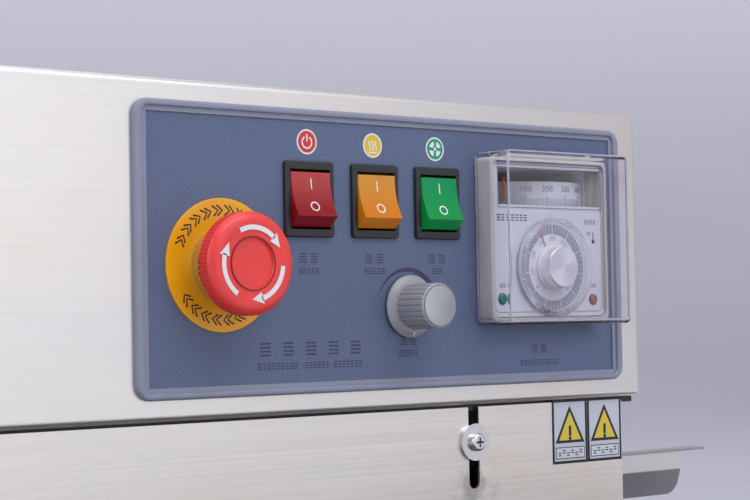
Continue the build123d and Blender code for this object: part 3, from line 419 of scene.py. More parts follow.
dress(clear_plastic("clear cover", (0.935, 0.925, 0.97)), "controller_cover")
dress(clear_plastic("clear ring", (0.95, 0.95, 0.97), 220.0, 1.14), "controller_dial_ring")
dress(painted("dial white", (0.62, 0.63, 0.67), 900.0, 0.03), "controller_dial")


def lamp_lens():
    """Two tinted lenses of one piece: green on the left, dull red on the right."""
    p = Paint("lamp lens")
    p.set(Coat_Weight=0.6)
    half = p.ratio(p.part(p.coord, "X"), METER.x - 1 * MM, METER.x + 1 * MM)
    cloud = p.noise(400.0, 3.0)
    return p.finish(p.mix(half, (0.0, 0.15, 0.085), (0.22, 0.05, 0.055)), p.range(cloud, 0.08, 0.16),
                    p.bump(cloud, 0.05, 0.00005))


dress(lamp_lens(), "controller_lamps")


# ------------------------------------------------------------------ flat prints and thin shapes
INK_LAYER = 0.05 * MM
FIGURES = {
    "0": [(0.5, 1), (0.12, 0.85), (0, 0.5), (0.12, 0.15), (0.5, 0), (0.88, 0.15), (1, 0.5), (0.88, 0.85),
          (0.5, 1)],
    "1": [(0.25, 0.8), (0.55, 1), (0.55, 0)],
    "2": [(0.05, 0.8), (0.3, 1), (0.75, 1), (0.95, 0.75), (0.8, 0.5), (0.05, 0.02), (1, 0.02)],
    "3": [(0.05, 0.95), (0.7, 1), (0.95, 0.77), (0.75, 0.53), (0.4, 0.52), (0.75, 0.5), (0.98, 0.25),
          (0.7, 0.0), (0.05, 0.05)],
    "4": [(0.75, 0), (0.75, 1), (0.0, 0.3), (1.0, 0.3)],
    "5": [(0.9, 1), (0.15, 1), (0.1, 0.58), (0.6, 0.62), (0.95, 0.32), (0.65, 0.0), (0.05, 0.06)],
}


def around(centre, radius, angle):
    """The flat point at a radius in mm and an angle in radians about a centre."""
    return centre.x + radius * MM * math.cos(angle), centre.z + radius * MM * math.sin(angle)


class Print:
    """Collects thin closed shapes drawn on a plane that faces the operator, as one piece."""

    def __init__(self, name, depth, thickness=INK_LAYER, shape=None):
        """shape, if given, moves each point of the flat drawing to its place on a curved face."""
        self.name = name
        self.depth = depth
        self.thickness = thickness
        self.shape = shape
        self.made = bmesh.new()

    def loops(self, points):
        front = [self.made.verts.new((x, self.depth - self.thickness, z)) for x, z in points]
        back = [self.made.verts.new((x, self.depth, z)) for x, z in points]
        return front, back

    def patch(self, points):
        """A filled outline."""
        front, back = self.loops(points)
        self.made.faces.new(front)
        self.made.faces.new(list(reversed(back)))
        count = len(points)
        for k in range(count):
            j = (k + 1) % count
            self.made.faces.new((front[k], back[k], back[j], front[j]))

    def ribbon(self, left, right, closed=False):
        """A strip between two lines of points; closed joins its ends into a ring."""
        left_front, left_back = self.loops(left)
        right_front, right_back = self.loops(right)
        count = len(left)
        for k in range(count if closed else count - 1):
            j = (k + 1) % count
            self.made.faces.new((left_front[k], left_front[j], right_front[j], right_front[k]))
            self.made.faces.new((left_back[k], right_back[k], right_back[j], left_back[j]))
            self.made.faces.new((left_front[k], left_back[k], left_back[j], left_front[j]))
            self.made.faces.new((right_front[k], right_front[j], right_back[j], right_back[k]))
        if not closed:
            self.made.faces.new((left_front[0], right_front[0], right_back[0], left_back[0]))
            self.made.faces.new((left_front[-1], left_back[-1], right_back[-1], right_front[-1]))

    def box(self, x, z, width, height):
        self.patch([(x - width / 2, z - height / 2), (x + width / 2, z - height / 2),
                    (x + width / 2, z + height / 2), (x - width / 2, z + height / 2)])

    def disc(self, x, z, radius, sides=48):
        self.patch([(x + radius * math.cos(2 * math.pi * k / sides),
                     z + radius * math.sin(2 * math.pi * k / sides)) for k in range(sides)])

    def arc(self, x, z, inner, outer, start, end, steps=24):
        """A curved band from start to end degrees, anticlockwise from +X; a full turn is a ring."""
        closed = abs(end - start) >= 360
        count = steps if closed else steps + 1
        angles = [math.radians(start + (end - start) * k / steps) for k in range(count)]
        self.ribbon([(x + inner * math.cos(a), z + inner * math.sin(a)) for a in angles],
                    [(x + outer * math.cos(a), z + outer * math.sin(a)) for a in angles], closed)

    def stroke(self, points, width):
        """A line of even width through points."""
        left, right = [], []
        for k, (x, z) in enumerate(points):
            ax, az = points[max(k - 1, 0)]
            bx, bz = points[min(k + 1, len(points) - 1)]
            run = math.hypot(bx - ax, bz - az)
            nx, nz = -(bz - az) / run * width / 2, (bx - ax) / run * width / 2
            left.append((x + nx, z + nz))
            right.append((x - nx, z - nz))
        self.ribbon(left, right)

    def dashes(self, x, z, width, height, seed):
        """A row of stacked short strokes that stands for a printed word, without any letters."""
        chance = random.Random(seed)
        count = max(1, round(width / (height * 0.8)))
        for k in range(count):
            middle_x = x + (k - (count - 1) / 2) * width / count
            wide = width / count * chance.choice((0.62, 0.74, 0.80))
            for level in (-0.36, 0.0, 0.36):
                self.box(middle_x, z + level * height, wide, height * 0.17)

    def block(self, x, z, size):
        """A small stack of bars, for a symbol that is part of a legend."""
        for level in (-0.42, -0.14, 0.14, 0.42):
            self.box(x, z + level * size, size * 0.92, size * 0.12)

    def number(self, text, x, z, height, width=None):
        """Scale numbers drawn as single strokes, centred on x."""
        wide = width or height * 0.55
        step = wide * 1.55
        for k, figure in enumerate(text):
            left = x + (k - (len(text) - 1) / 2) * step - wide / 2
            bottom = z - height / 2
            self.stroke([(left + u * wide, bottom + v * height) for u, v in FIGURES[figure]], height * 0.13)

    def finish(self, material, body="frame", slot=None):
        if self.shape:
            for vert in self.made.verts:
                vert.co = self.shape(vert.co)
        bmesh.ops.recalc_face_normals(self.made, faces=self.made.faces)
        mesh = bpy.data.meshes.new(self.name)
        self.made.to_mesh(mesh)
        self.made.free()
        mesh.materials.append(material)
        piece = bpy.data.objects.new(self.name, mesh)
        SCENE.collection.objects.link(piece)
        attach(piece, body)
        return piece


def ink(name, colour, rough=(0.45, 0.6)):
    return plastic(name, colour, 1800.0, 0.05, rough, 0.08)


INK_PURPLE = ink("ink purple", (0.045, 0.035, 0.10))
INK_WHITE = ink("ink white", (0.80, 0.80, 0.84))
INK_BLACK = ink("ink black", (0.012, 0.010, 0.018))
INK_RED = ink("ink red", (0.62, 0.04, 0.03))
INK_YELLOW = ink("ink yellow", (0.75, 0.52, 0.03))
INK_GREEN = ink("ink green", (0.0, 0.33, 0.16))
INK_GREY = ink("ink grey", (0.20, 0.21, 0.25))

# ------------------------------------------------------------------ legends and symbols on the panel
def panel_z(rise):
    """Height on the panel from mm above the box's lower edge."""
    return BOX_LOW.z + rise * MM


ICON_Z = panel_z(111.16)
ICON_RADIUS = 5.18 * MM
ICON_RIM = 0.7 * MM
rims = Print("panel_symbol_rims", PANEL_Y)
fills = {name: Print(f"panel_symbol_{name}_ground", PANEL_Y - INK_LAYER) for name in ROCKERS}
marks = Print("panel_symbol_marks", PANEL_Y - 2 * INK_LAYER)
legends = Print("panel_legends", PANEL_Y)


def legend(x, rise, drop, word, seed, spread=2.9, size=3.9, shift=0.0):
    """Two symbols side by side and, drop mm lower, a printed word of a given width."""
    for side in (-1, 1):
        legends.block(x + side * spread * MM, panel_z(rise), size * MM)
    legends.dashes(x + shift * MM, panel_z(rise - drop), word * MM, 2.7 * MM, seed)


for name, place in ROCKERS.items():
    rims.disc(place.x, ICON_Z, ICON_RADIUS)
    fills[name].disc(place.x, ICON_Z, ICON_RADIUS - ICON_RIM)
for name, word in (("power", 10.6), ("heater", 11.8), ("fan", 5.6)):
    legend(ROCKERS[name].x, 63.6, 5.3, word, name + " word")
legend(KNOB.x - 0.4 * MM, 28.8, 5.3, 11.0, "speed word", spread=2.6, shift=-0.2)
legend(METER.x, 23.8, 6.3, 24.0, "warm word", size=4.0)
TITLE_X = BOX_HIGH.x - 196.5 * MM
for k in range(5):
    legends.block(TITLE_X + (k - 2) * 11.6 * MM, panel_z(26.7), 5.6 * MM)
for offset, word in ((-17.0, 20.5), (2.8, 13.0), (19.0, 15.5)):
    legends.dashes(TITLE_X + offset * MM, panel_z(19.9), word * MM, 2.9 * MM, f"title {offset}")
# tapered sweep above the speed knob
SWEEP_WIDE, SWEEP_HIGH = 17.0 * MM, 16.6 * MM
SWEEP_STEPS = 40
outer_line, inner_line = [], []
for k in range(SWEEP_STEPS + 1):
    done = k / SWEEP_STEPS
    angle = math.radians(160 - 150 * done)
    thick = (0.35 + 1.9 * math.sin(math.pi * min(done * 1.25, 1.0) / 2)) * MM
    outer_line.append((KNOB.x + SWEEP_WIDE * math.cos(angle), KNOB.z + SWEEP_HIGH * math.sin(angle)))
    inner_line.append((KNOB.x + (SWEEP_WIDE - thick) * math.cos(angle),
                       KNOB.z + (SWEEP_HIGH - thick) * math.sin(angle)))
legends.ribbon(outer_line, inner_line)
# power symbol, heat waves, fan blades
x = ROCKERS["power"].x
marks.arc(x, ICON_Z - 0.2 * MM, 2.1 * MM, 2.75 * MM, 120, 420, 30)
marks.box(x, ICON_Z + 1.6 * MM, 0.65 * MM, 3.0 * MM)
x = ROCKERS["heater"].x
for offset in (-1.6, 0.0, 1.6):
    wave = [(x + (offset + 0.5 * math.sin(k * math.pi / 5)) * MM, ICON_Z + (k * 0.42 - 2.2) * MM)
            for k in range(11)]
    marks.stroke(wave, 0.55 * MM)
marks.box(x, ICON_Z - 3.0 * MM, 4.4 * MM, 0.5 * MM)
x = ROCKERS["fan"].x
marks.disc(x, ICON_Z, 0.7 * MM, 24)
hub = Vector((x, 0, ICON_Z))
for blade in range(4):
    base = math.radians(blade * 90 + 20)
    tip_line = [around(hub, 3.3, base + math.radians(k * 6 - 6)) for k in range(11)]
    root_line = [around(hub, 1.1 + 0.15 * k, base + math.radians(40 - k * 9)) for k in range(6)]
    marks.patch(tip_line + root_line)
rims.finish(INK_WHITE, slot="panel_blue")
for (name, fill), colour in zip(fills.items(), (INK_RED, INK_YELLOW, INK_GREEN)):
    fill.finish(colour, slot="panel_blue")
marks.finish(INK_WHITE, slot="panel_blue")
legends.finish(INK_PURPLE, slot="panel_blue")

# yellow ring: chevrons round the rim that point the way the button turns
ring_marks = Print("estop_ring_marks", span("estop_ring")[0].y)
for start in (32, 212):
    for k in range(9):
        tip = math.radians(start + k * 14.5)
        tail = tip + math.radians(6.5)
        for step in (0.0, math.radians(5.2)):
            chevron = [around(ESTOP, r, a + step) for r, a in ((19.6, tail), (21.7, tip), (23.8, tail))]
            ring_marks.stroke(chevron, 0.75 * MM)
ring_marks.finish(INK_BLACK, slot="yellow_ring")

# three curved arrows on the stop button
arrows = Print("estop_arrows", span("estop_head")[0].y + 0.25 * MM, 0.3 * MM)
for k in range(3):
    start = 236 - 120 * k
    arrows.arc(ESTOP.x, ESTOP.z, 13.05 * MM, 14.95 * MM, start, start - 71, 20)
    tip = math.radians(start - 90)
    neck = math.radians(start - 69)
    arrows.patch([around(ESTOP, r, a) for r, a in ((11.7, neck), (14.0, tip), (16.3, neck))])
arrows.finish(INK_WHITE, "estop_head", "red_plastic")
# painted shade: a dark red ring on the button stands for the shade in its groove
groove_painted_shade = Print("estop_groove_painted_shade", span("estop_head")[0].y + 0.30 * MM, 0.2 * MM)
groove_painted_shade.arc(ESTOP.x, ESTOP.z, 10.15 * MM, 10.6 * MM, 0, 360, 64)
groove_painted_shade.finish(ink("groove painted shade red", (0.22, 0.004, 0.008)), "estop_head", "red_plastic")

# on and off marks on the rockers
ROCKER_PIVOT = Vector((0, FACE_Y + 1.7 * MM, middle("switch_housings").z))
ROCKER_TILT = Matrix.Rotation(math.radians(-15), 3, "X")
ON_MARK = 0.5 * MM


def on_rocker(place):
    """A point of a flat drawing about the pivot, laid on the dished and tipped face."""
    rise = place.z - ROCKER_PIVOT.z
    face = -5.9 * MM - 1.4 * MM * (rise / (9.4 * MM)) ** 2
    tipped = ROCKER_TILT @ Vector((0, face + place.y, rise))
    return Vector((place.x, ROCKER_PIVOT.y + tipped.y, ROCKER_PIVOT.z + tipped.z))


for name, place in ROCKERS.items():
    strokes = Print(f"rocker_{name}_marks", 0.15 * MM, 0.19 * MM, on_rocker)
    for rise in (5.9, 3.7):
        strokes.box(place.x, ROCKER_PIVOT.z + rise * MM, ON_MARK, 2.2 * MM)
    angles = [math.radians(k * 10) for k in range(36)]
    outer, inner = [[(place.x + wide * MM * math.cos(a), ROCKER_PIVOT.z + (high * math.sin(a) - 4.9) * MM)
                     for a in angles] for wide, high in ((2.25, 2.1), (1.7, 1.55))]
    strokes.ribbon(outer, inner, True)
    strokes.finish(INK_WHITE, f"rocker_{name}", f"rocker_{ROCKER_COLOURS[name]}")


# ------------------------------------------------------------------ turned and boxed detail
def lathe(name, x, z, outline, material, body="frame", sides=64):
    """A solid turned about a line towards the operator, from (radius, depth behind the face) in mm."""
    made = bmesh.new()
    loops = []
    for radius, depth in outline:
        y = FACE_Y + depth * MM
        if radius == 0:
            loops.append([made.verts.new((x, y, z))])
            continue
        loops.append([made.verts.new((x + radius * MM * math.cos(2 * math.pi * k / sides), y,
                                      z + radius * MM * math.sin(2 * math.pi * k / sides)))
                      for k in range(sides)])
    for first, second in zip(loops, loops[1:]):
        for k in range(sides):
            j = (k + 1) % sides
            corners = [first[k % len(first)], first[j % len(first)],
                       second[j % len(second)], second[k % len(second)]]
            made.faces.new(list(dict.fromkeys(corners)))
    for face in made.faces:
        face.smooth = True
    bmesh.ops.recalc_face_normals(made, faces=made.faces)
    mesh = bpy.data.meshes.new(name)
    made.to_mesh(mesh)
    made.free()
    mesh.set_sharp_from_angle(angle=math.radians(35))
    mesh.materials.append(material)
    piece = bpy.data.objects.new(name, mesh)
    SCENE.collection.objects.link(piece)
    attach(piece, body)
    return piece


SPUN = spun("spun silver", (0.93, 0.93, 0.95), (0.24, 0.34), 0.8)
SATIN = spun("spun satin", (0.46, 0.47, 0.50), (0.40, 0.48), 0.4)
KNOB_FRONT = (span("speed_knob")[0].y - FACE_Y) / MM
lathe("knob_cap_disc", KNOB.x, KNOB.z,
      [(0, KNOB_FRONT - 0.08), (8.3, KNOB_FRONT - 0.08), (8.45, KNOB_FRONT - 0.02), (8.45, KNOB_FRONT + 0.1),
       (0, KNOB_FRONT + 0.1)], SATIN, "speed_knob")
lathe("dial_cap_shell", DIAL.x, DIAL.z,
      [(0, -17.04), (8.75, -17.06), (9.14, -16.65), (9.14, -11.7), (8.9, -11.7), (8.9, -16.5), (0, -16.8)],
      SPUN, "controller_dial")


def on_skirt(place):
    """A point of a flat drawing, laid on the sloping skirt of the speed knob."""
    down = max(0.0, KNOB.z - 11.2 * MM - place.z)
    return Vector((place.x, place.y + FACE_Y - 4.3 * MM + down * 0.83, place.z))


pointer = Print("knob_pointer", 0.0, 0.35 * MM, on_skirt)
for k in range(3):
    pointer.box(KNOB.x, KNOB.z - (11.3 + 0.5 * k) * MM, 0.9 * MM, 0.5 * MM)
pointer.finish(INK_WHITE, "speed_knob", "knob_grey")

# ------------------------------------------------------------------ painted highlight strips along the edges of the clear cover
def rounded(middle_x, middle_z, half, radius, start):
    """Points round a square with rounded corners, anticlockwise from start degrees."""
    points = []
    for quarter, (side_x, side_z) in enumerate(((1, 1), (-1, 1), (-1, -1), (1, -1))):
        for step in range(7):
            angle = quarter * 90 + step * 15
            if angle >= start:
                points.append((middle_x + side_x * (half - radius) + radius * math.cos(math.radians(angle)),
                               middle_z + side_z * (half - radius) + radius * math.sin(math.radians(angle))))
    return points


COVER_LOW, COVER_HIGH = span("controller_cover")
COVER_HALF = (COVER_HIGH.x - COVER_LOW.x) / 2
# painted highlight: lavender strips just inside the cover's edges and at its corners stand for the light
# lines along them
EDGE_HIGHLIGHT = Paint("cover painted edge highlight")
EDGE_HIGHLIGHT.set(IOR=1.30, Transmission_Weight=0.35, Coat_Weight=1.0)
EDGE_HIGHLIGHT.finish(EDGE_HIGHLIGHT.ramp(EDGE_HIGHLIGHT.noise(120.0, 3.0), [(0.3, (0.55, 0.51, 0.70)), (0.7, (0.72, 0.69, 0.84))]))
HIGHLIGHT_OUTER, HIGHLIGHT_INNER = 0.75 * MM, 1.35 * MM       # below the cover's surface
COVER_CORNER = 2.5 * MM


def highlight_lines(start=0):
    """The outer and inner outline of the painted highlight strip, anticlockwise from start degrees."""
    return [rounded(METER.x, METER.z, COVER_HALF - depth, COVER_CORNER - depth, start)
            for depth in (HIGHLIGHT_OUTER, HIGHLIGHT_INNER)]


front_highlight = Print("controller_cover_front_highlight", COVER_LOW.y + HIGHLIGHT_INNER, HIGHLIGHT_INNER - HIGHLIGHT_OUTER)
front_highlight.ribbon(*highlight_lines(), True)
front_highlight.finish(EDGE_HIGHLIGHT.mat, "controller_cover", "clear_plastic")
back_highlight = Print("controller_cover_back_highlight", FACE_Y - 1.0 * MM, HIGHLIGHT_INNER - HIGHLIGHT_OUTER)
back_highlight.ribbon(*highlight_lines(180))
back_highlight.finish(EDGE_HIGHLIGHT.mat, "controller_cover", "clear_plastic")
CORNER_BACK = FACE_Y - 3.2 * MM
corner_highlights = Print("controller_cover_corner_highlights", CORNER_BACK, CORNER_BACK - COVER_LOW.y - HIGHLIGHT_OUTER)
corner_reach = COVER_HALF - 1.15 * MM
for side_x in (-1, 1):
    for side_z in (-1, 1):
        corner_highlights.box(METER.x + side_x * corner_reach, METER.z + side_z * corner_reach, 0.5 * MM, 0.5 * MM)
corner_highlights.finish(EDGE_HIGHLIGHT.mat, "controller_cover", "clear_plastic")

# ------------------------------------------------------------------ temperature controller
OUTLINE_HALF = 30.4 * MM                          # middle to the centres of its corners
OUTLINE_INNER, OUTLINE_OUTER = 2.6 * MM, 2.95 * MM
OUTLINE_WIDTH = 0.35 * MM
outline = Print("controller_outline", METER_FACE_Y)
for corner_x, corner_z, start in ((1, 1, 0), (-1, 1, 90), (-1, -1, 180), (1, -1, 270)):
    outline.arc(METER.x + corner_x * OUTLINE_HALF, METER.z + corner_z * OUTLINE_HALF,
                OUTLINE_INNER, OUTLINE_OUTER, start, start + 90, 8)
for turn_x, turn_z in ((1, 0), (-1, 0), (0, 1), (0, -1)):
    outline.box(METER.x + turn_x * 33.18 * MM, METER.z + turn_z * 33.18 * MM,
                OUTLINE_WIDTH if turn_x else 2 * OUTLINE_HALF, OUTLINE_WIDTH if turn_z else 2 * OUTLINE_HALF)
WINDOW = Vector((METER.x + 1.6 * MM, 0, METER.z + 22.7 * MM))
for side in (-1, 1):
    outline.box(WINDOW.x + side * 31.95 * MM, WINDOW.z, 0.45 * MM, 19.5 * MM)
    outline.box(WINDOW.x, WINDOW.z + side * 9.5 * MM, 63.5 * MM, 0.4 * MM)
outline.finish(INK_GREY, slot="white_plate")
face_marks = Print("controller_marks", METER_FACE_Y)
face_marks.dashes(METER.x - 22.5 * MM, METER.z + 8.6 * MM, 18.0 * MM, 3.2 * MM, "meter type")
face_marks.dashes(METER.x + 26.0 * MM, METER.z + 7.4 * MM, 7.5 * MM, 2.2 * MM, "meter maker")
face_marks.arc(METER.x + 25.0 * MM, METER.z + 2.2 * MM, 0.55 * MM, 0.9 * MM, 0, 360, 20)
face_marks.box(METER.x + 28.0 * MM, METER.z + 1.0 * MM, 0.55 * MM, 3.6 * MM)
face_marks.disc(METER.x + 28.0 * MM, METER.z - 1.4 * MM, 1.0 * MM, 24)
face_marks.dashes(METER.x - 28.6 * MM, METER.z - 21.4 * MM, 3.8 * MM, 1.9 * MM, "lamp one")
face_marks.dashes(METER.x + 27.0 * MM, METER.z - 21.6 * MM, 4.4 * MM, 1.9 * MM, "lamp two")
face_marks.finish(INK_BLACK, slot="white_plate")
# drum scale: drawn flat, then wrapped round the drum
DRUM = Vector((METER.x + 12.5 * MM, FACE_Y + 31.5 * MM, 0))
DRUM_RADIUS = 35.0 * MM


def on_drum(place):
    angle = place.x / DRUM_RADIUS
    reach = DRUM_RADIUS - place.y
    return Vector((DRUM.x + reach * math.sin(angle), DRUM.y - reach * math.cos(angle), place.z))


drum_low, drum_high = span("controller_scale")
SCALE_START, SCALE_STEP = -47.6, 1.74             # degrees, ten steps to a number
scale = Print("controller_scale_marks", 0.0, 0.14 * MM, on_drum)
for k in range(41):
    place = math.radians(SCALE_START + k * SCALE_STEP) * DRUM_RADIUS
    tall, thick = (4.9, 0.22) if k % 10 == 0 else (3.4, 0.16) if k % 5 == 0 else (3.4, 0.10)
    scale.box(place, drum_low.z + (4.6 + tall / 2) * MM, thick * MM, tall * MM)
for k in range(1, 5):
    place = math.radians(SCALE_START + 10 * k * SCALE_STEP) * DRUM_RADIUS
    scale.number(f"{k}00", place, drum_high.z - 3.3 * MM, 2.5 * MM, 1.35 * MM)
scale.finish(INK_GREY, slot="white_plate")

# dial: grey scale band, ticks, numbers and pointer line
DIAL_FRONT = FACE_Y - 10.0 * MM
BAND_INNER, BAND_OUTER = 14.9, 19.3               # radii in mm
DIAL_START, DIAL_STEP = 222, 6.6                  # degrees, five steps to a number
band = Print("dial_band", DIAL_FRONT)
band.arc(DIAL.x, DIAL.z, BAND_INNER * MM, BAND_OUTER * MM, 0, 360, 96)
band.finish(ink("dial grey", (0.26, 0.27, 0.33)), "controller_dial", "dial_white")
ticks = Print("dial_ticks", DIAL_FRONT - INK_LAYER)
for k in range(54):
    angle = math.radians(DIAL_START - k * DIAL_STEP)
    inner, thick = (BAND_INNER, 0.26) if k % 5 == 0 else (16.9, 0.13)
    ticks.stroke([around(DIAL, r, angle) for r in (inner, BAND_OUTER)], thick * MM)
ticks.finish(INK_WHITE, "controller_dial", "dial_white")


def dial_number(text, angle):
    """Numbers that stand upright against the dial's centre."""
    turn = math.radians(angle - 90)

    def place_on_dial(place):
        x = place.x - DIAL.x
        z = place.z - DIAL.z
        return Vector((DIAL.x + x * math.cos(turn) - z * math.sin(turn), place.y,
                       DIAL.z + x * math.sin(turn) + z * math.cos(turn)))

    drawn = Print(f"dial_number_{text}", DIAL_FRONT, INK_LAYER, place_on_dial)
    drawn.number(text, DIAL.x, DIAL.z + 13.0 * MM, 1.9 * MM, 0.95 * MM)
    drawn.finish(INK_GREY, "controller_dial", "dial_white")


for k in range(9):
    dial_number(str(50 * k), DIAL_START - 5 * k * DIAL_STEP)
line = Print("dial_pointer", DIAL_FRONT - 2 * INK_LAYER)
line.stroke([around(DIAL, r, math.radians(115)) for r in (9.4, 16.2)], 0.5 * MM)
line.finish(INK_RED, "controller_dial", "dial_white")


# ------------------------------------------------------------------ screws, rivets and the rating plate
def fastener(name, place, outward, radius, height, body="frame"):
    """A button-head screw with a round socket, standing on place and facing outward."""
    made = bmesh.new()
    sides = 32
    turn = Vector(outward).to_track_quat("Z", "Y").to_matrix()
    loops = []
    for reach, rise in ((1.0, -0.1), (1.0, 0.5), (0.86, 0.82), (0.6, 1.0), (0.5, 1.0), (0.46, 0.45)):
        loops.append([])
        for k in range(sides):
            angle = 2 * math.pi * k / sides
            across, up = reach * radius * math.cos(angle), reach * radius * math.sin(angle)
            loops[-1].append(made.verts.new(Vector(place) + turn @ Vector((across, up, rise * height))))
    for first, second in zip(loops, loops[1:]):
        for k in range(sides):
            j = (k + 1) % sides
            made.faces.new((first[k], first[j], second[j], second[k]))
    made.faces.new(loops[-1])
    made.faces.new(list(reversed(loops[0])))
    bmesh.ops.recalc_face_normals(made, faces=made.faces)
    mesh = bpy.data.meshes.new(name)
    made.to_mesh(mesh)
    made.free()
    mesh.materials.append(SCREW_STEEL)
    piece = bpy.data.objects.new(name, mesh)
    SCENE.collection.objects.link(piece)
    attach(piece, body)


SCREW_STEEL = brushed("screw steel", (0.55, 0.55, 0.56), (300, 300, 300), (0.25, 0.38))
rear_low, rear_high = span("control_box_rear")
rear_rows = (rear_low.z + 8 * MM, rear_high.z - 8 * MM)
for k, (across, row) in enumerate(((-1, 0), (1, 0), (-1, 1), (1, 1), (0, 0), (0, 1))):
    fastener(f"rear_screw_{k}", (across * (rear_high.x - 9 * MM), rear_high.y, rear_rows[row]), (0, 1, 0),
             3.2 * MM, 0.9 * MM)
base_low, base_high = span("base_housing")
base_places = [(y, z) for z in (base_low.z + 10 * MM, base_high.z - 10 * MM)
               for y in (base_low.y + 12 * MM, base_high.y - 14 * MM)]
for side, hand in ((-1, "left"), (1, "right")):
    for k, (y, z) in enumerate(base_places):
        fastener(f"base_screw_{hand}_{k}", (side * base_high.x, y, z), (side, 0, 0), 3.4 * MM, 1.8 * MM)
plate_low, plate_high = span("head_plate")
for k, across in enumerate((-1, 1, -0.25, 0.45)):
    fastener(f"head_screw_{k}", (across * (plate_high.x - 9 * MM), plate_low.y, plate_low.z + 14 * MM),
             (0, -1, 0), 4.0 * MM, 2.4 * MM)
rail_front = span("conveyor_frame")[0].y
for k in range(5):
    fastener(f"rail_screw_{k}", ((k - 2) * 168 * MM, rail_front, middle("conveyor_frame").z), (0, -1, 0),
             3.0 * MM, 1.4 * MM, "conveyor")

# rating plate on the back, left blank but for ruled lines
PLATE_X, PLATE_Z, PLATE_Y = -60 * MM, 112 * MM, base_high.y
rating = Print("rating_plate", PLATE_Y + 0.5 * MM, 0.6 * MM)
rating.box(PLATE_X, PLATE_Z, 62 * MM, 40 * MM)
rating.finish(brushed("plate aluminium", (0.72, 0.72, 0.73), (900, 3, 3), (0.35, 0.45)))
ruled = Print("rating_plate_lines", PLATE_Y + 0.56 * MM, 0.08 * MM)
for row in range(6):
    for column, wide in ((-15.5, 22), (13.5, 24)):
        ruled.box(PLATE_X + column * MM, PLATE_Z + (row * 5.0 - 12.5) * MM, wide * MM, 0.5 * MM)
ruled.finish(INK_GREY)
for k, (x, z) in enumerate(((-1, -1), (1, -1), (-1, 1), (1, 1))):
    fastener(f"rating_rivet_{k}", (PLATE_X + x * 28.4 * MM, PLATE_Y + 0.5 * MM, PLATE_Z + z * 17.4 * MM),
             (0, 1, 0), 1.5 * MM, 0.6 * MM)

# painted shade: a black cross where the cross recess in the guard screws lies in shadow
screw = middle("guard_screws")
for name, side in (("left", -1), ("right", 1)):
    recess_painted_shade = Print(f"guard_screw_recess_painted_shade_{name}", FACE_Y + 0.29 * MM, 0.1 * MM)
    recess_painted_shade.box(side * SLOT_X, screw.z, 4.0 * MM, 0.8 * MM)
    recess_painted_shade.box(side * SLOT_X, screw.z, 0.8 * MM, 4.0 * MM)
    recess_painted_shade.finish(INK_BLACK, slot="bright_steel")

# ------------------------------------------------------------------ labels on the guard
LABEL_WIDTH = 22.6 * MM
LABEL_LOW, LABEL_HIGH = 157.5 * MM, 186.9 * MM
LABEL_EDGE = 1.3 * MM
LABEL_FILM = 0.08 * MM
LABEL_LAYER = 0.04 * MM
CAPTION_Z = LABEL_LOW + 4.9 * MM


def label_layer(name, number):
    """One printed layer of a label; layers count forwards from the film."""
    return Print(name, GUARD_LOW.y - LABEL_FILM - number * LABEL_LAYER, LABEL_LAYER)


def triangle(centre, half, foot, tip):
    """Half width, foot over the label's low edge and tip under its high edge, all in mm."""
    foot_z = LABEL_LOW + foot * MM
    return [(centre - half * MM, foot_z), (centre + half * MM, foot_z), (centre, LABEL_HIGH - tip * MM)]


for name, left in (("heat", 223.7 * MM), ("hands", 246.5 * MM)):
    centre = left + LABEL_WIDTH / 2
    middle_z = (LABEL_LOW + LABEL_HIGH) / 2
    edge = Print(f"label_{name}_edge", GUARD_LOW.y, LABEL_FILM)
    edge.box(centre, middle_z, LABEL_WIDTH, LABEL_HIGH - LABEL_LOW)
    edge.finish(INK_BLACK, "guard")
    ground = label_layer(f"label_{name}_ground", 0)
    ground.box(centre, middle_z, LABEL_WIDTH - 2 * LABEL_EDGE, LABEL_HIGH - LABEL_LOW - 2 * LABEL_EDGE)
    ground.finish(ink(f"label ground {name}", (0.58, 0.61, 0.70)), "guard")
    dark = label_layer(f"label_{name}_triangle_edge", 1)
    dark.patch(triangle(centre, 9.4, 9.4, 3.0))
    dark.box(centre, CAPTION_Z, 18.6 * MM, 5.4 * MM)
    dark.finish(INK_BLACK, "guard")
    yellow = label_layer(f"label_{name}_triangle", 2)
    yellow.patch(triangle(centre, 7.1, 10.7, 5.7))
    yellow.finish(ink(f"label yellow {name}", (0.74, 0.58, 0.06)), "guard")
    plain = label_layer(f"label_{name}_box", 2)
    plain.box(centre, CAPTION_Z, 17.8 * MM, 4.6 * MM)
    plain.finish(ink(f"label box {name}", (0.66, 0.69, 0.76)), "guard")
    symbol = label_layer(f"label_{name}_symbol", 3)
    symbol.box(centre, LABEL_LOW + 14.9 * MM, 1.6 * MM, 4.6 * MM)
    symbol.disc(centre, LABEL_LOW + 11.5 * MM, 0.9 * MM, 20)
    for k in range(6):
        dash_x = centre + (k - 2.5) * 2.7 * MM
        for dash_z in (CAPTION_Z, CAPTION_Z + (1.1 if k % 2 else -1.1) * MM):
            symbol.box(dash_x, dash_z, 1.9 * MM, 0.5 * MM)
    symbol.finish(INK_BLACK, "guard")

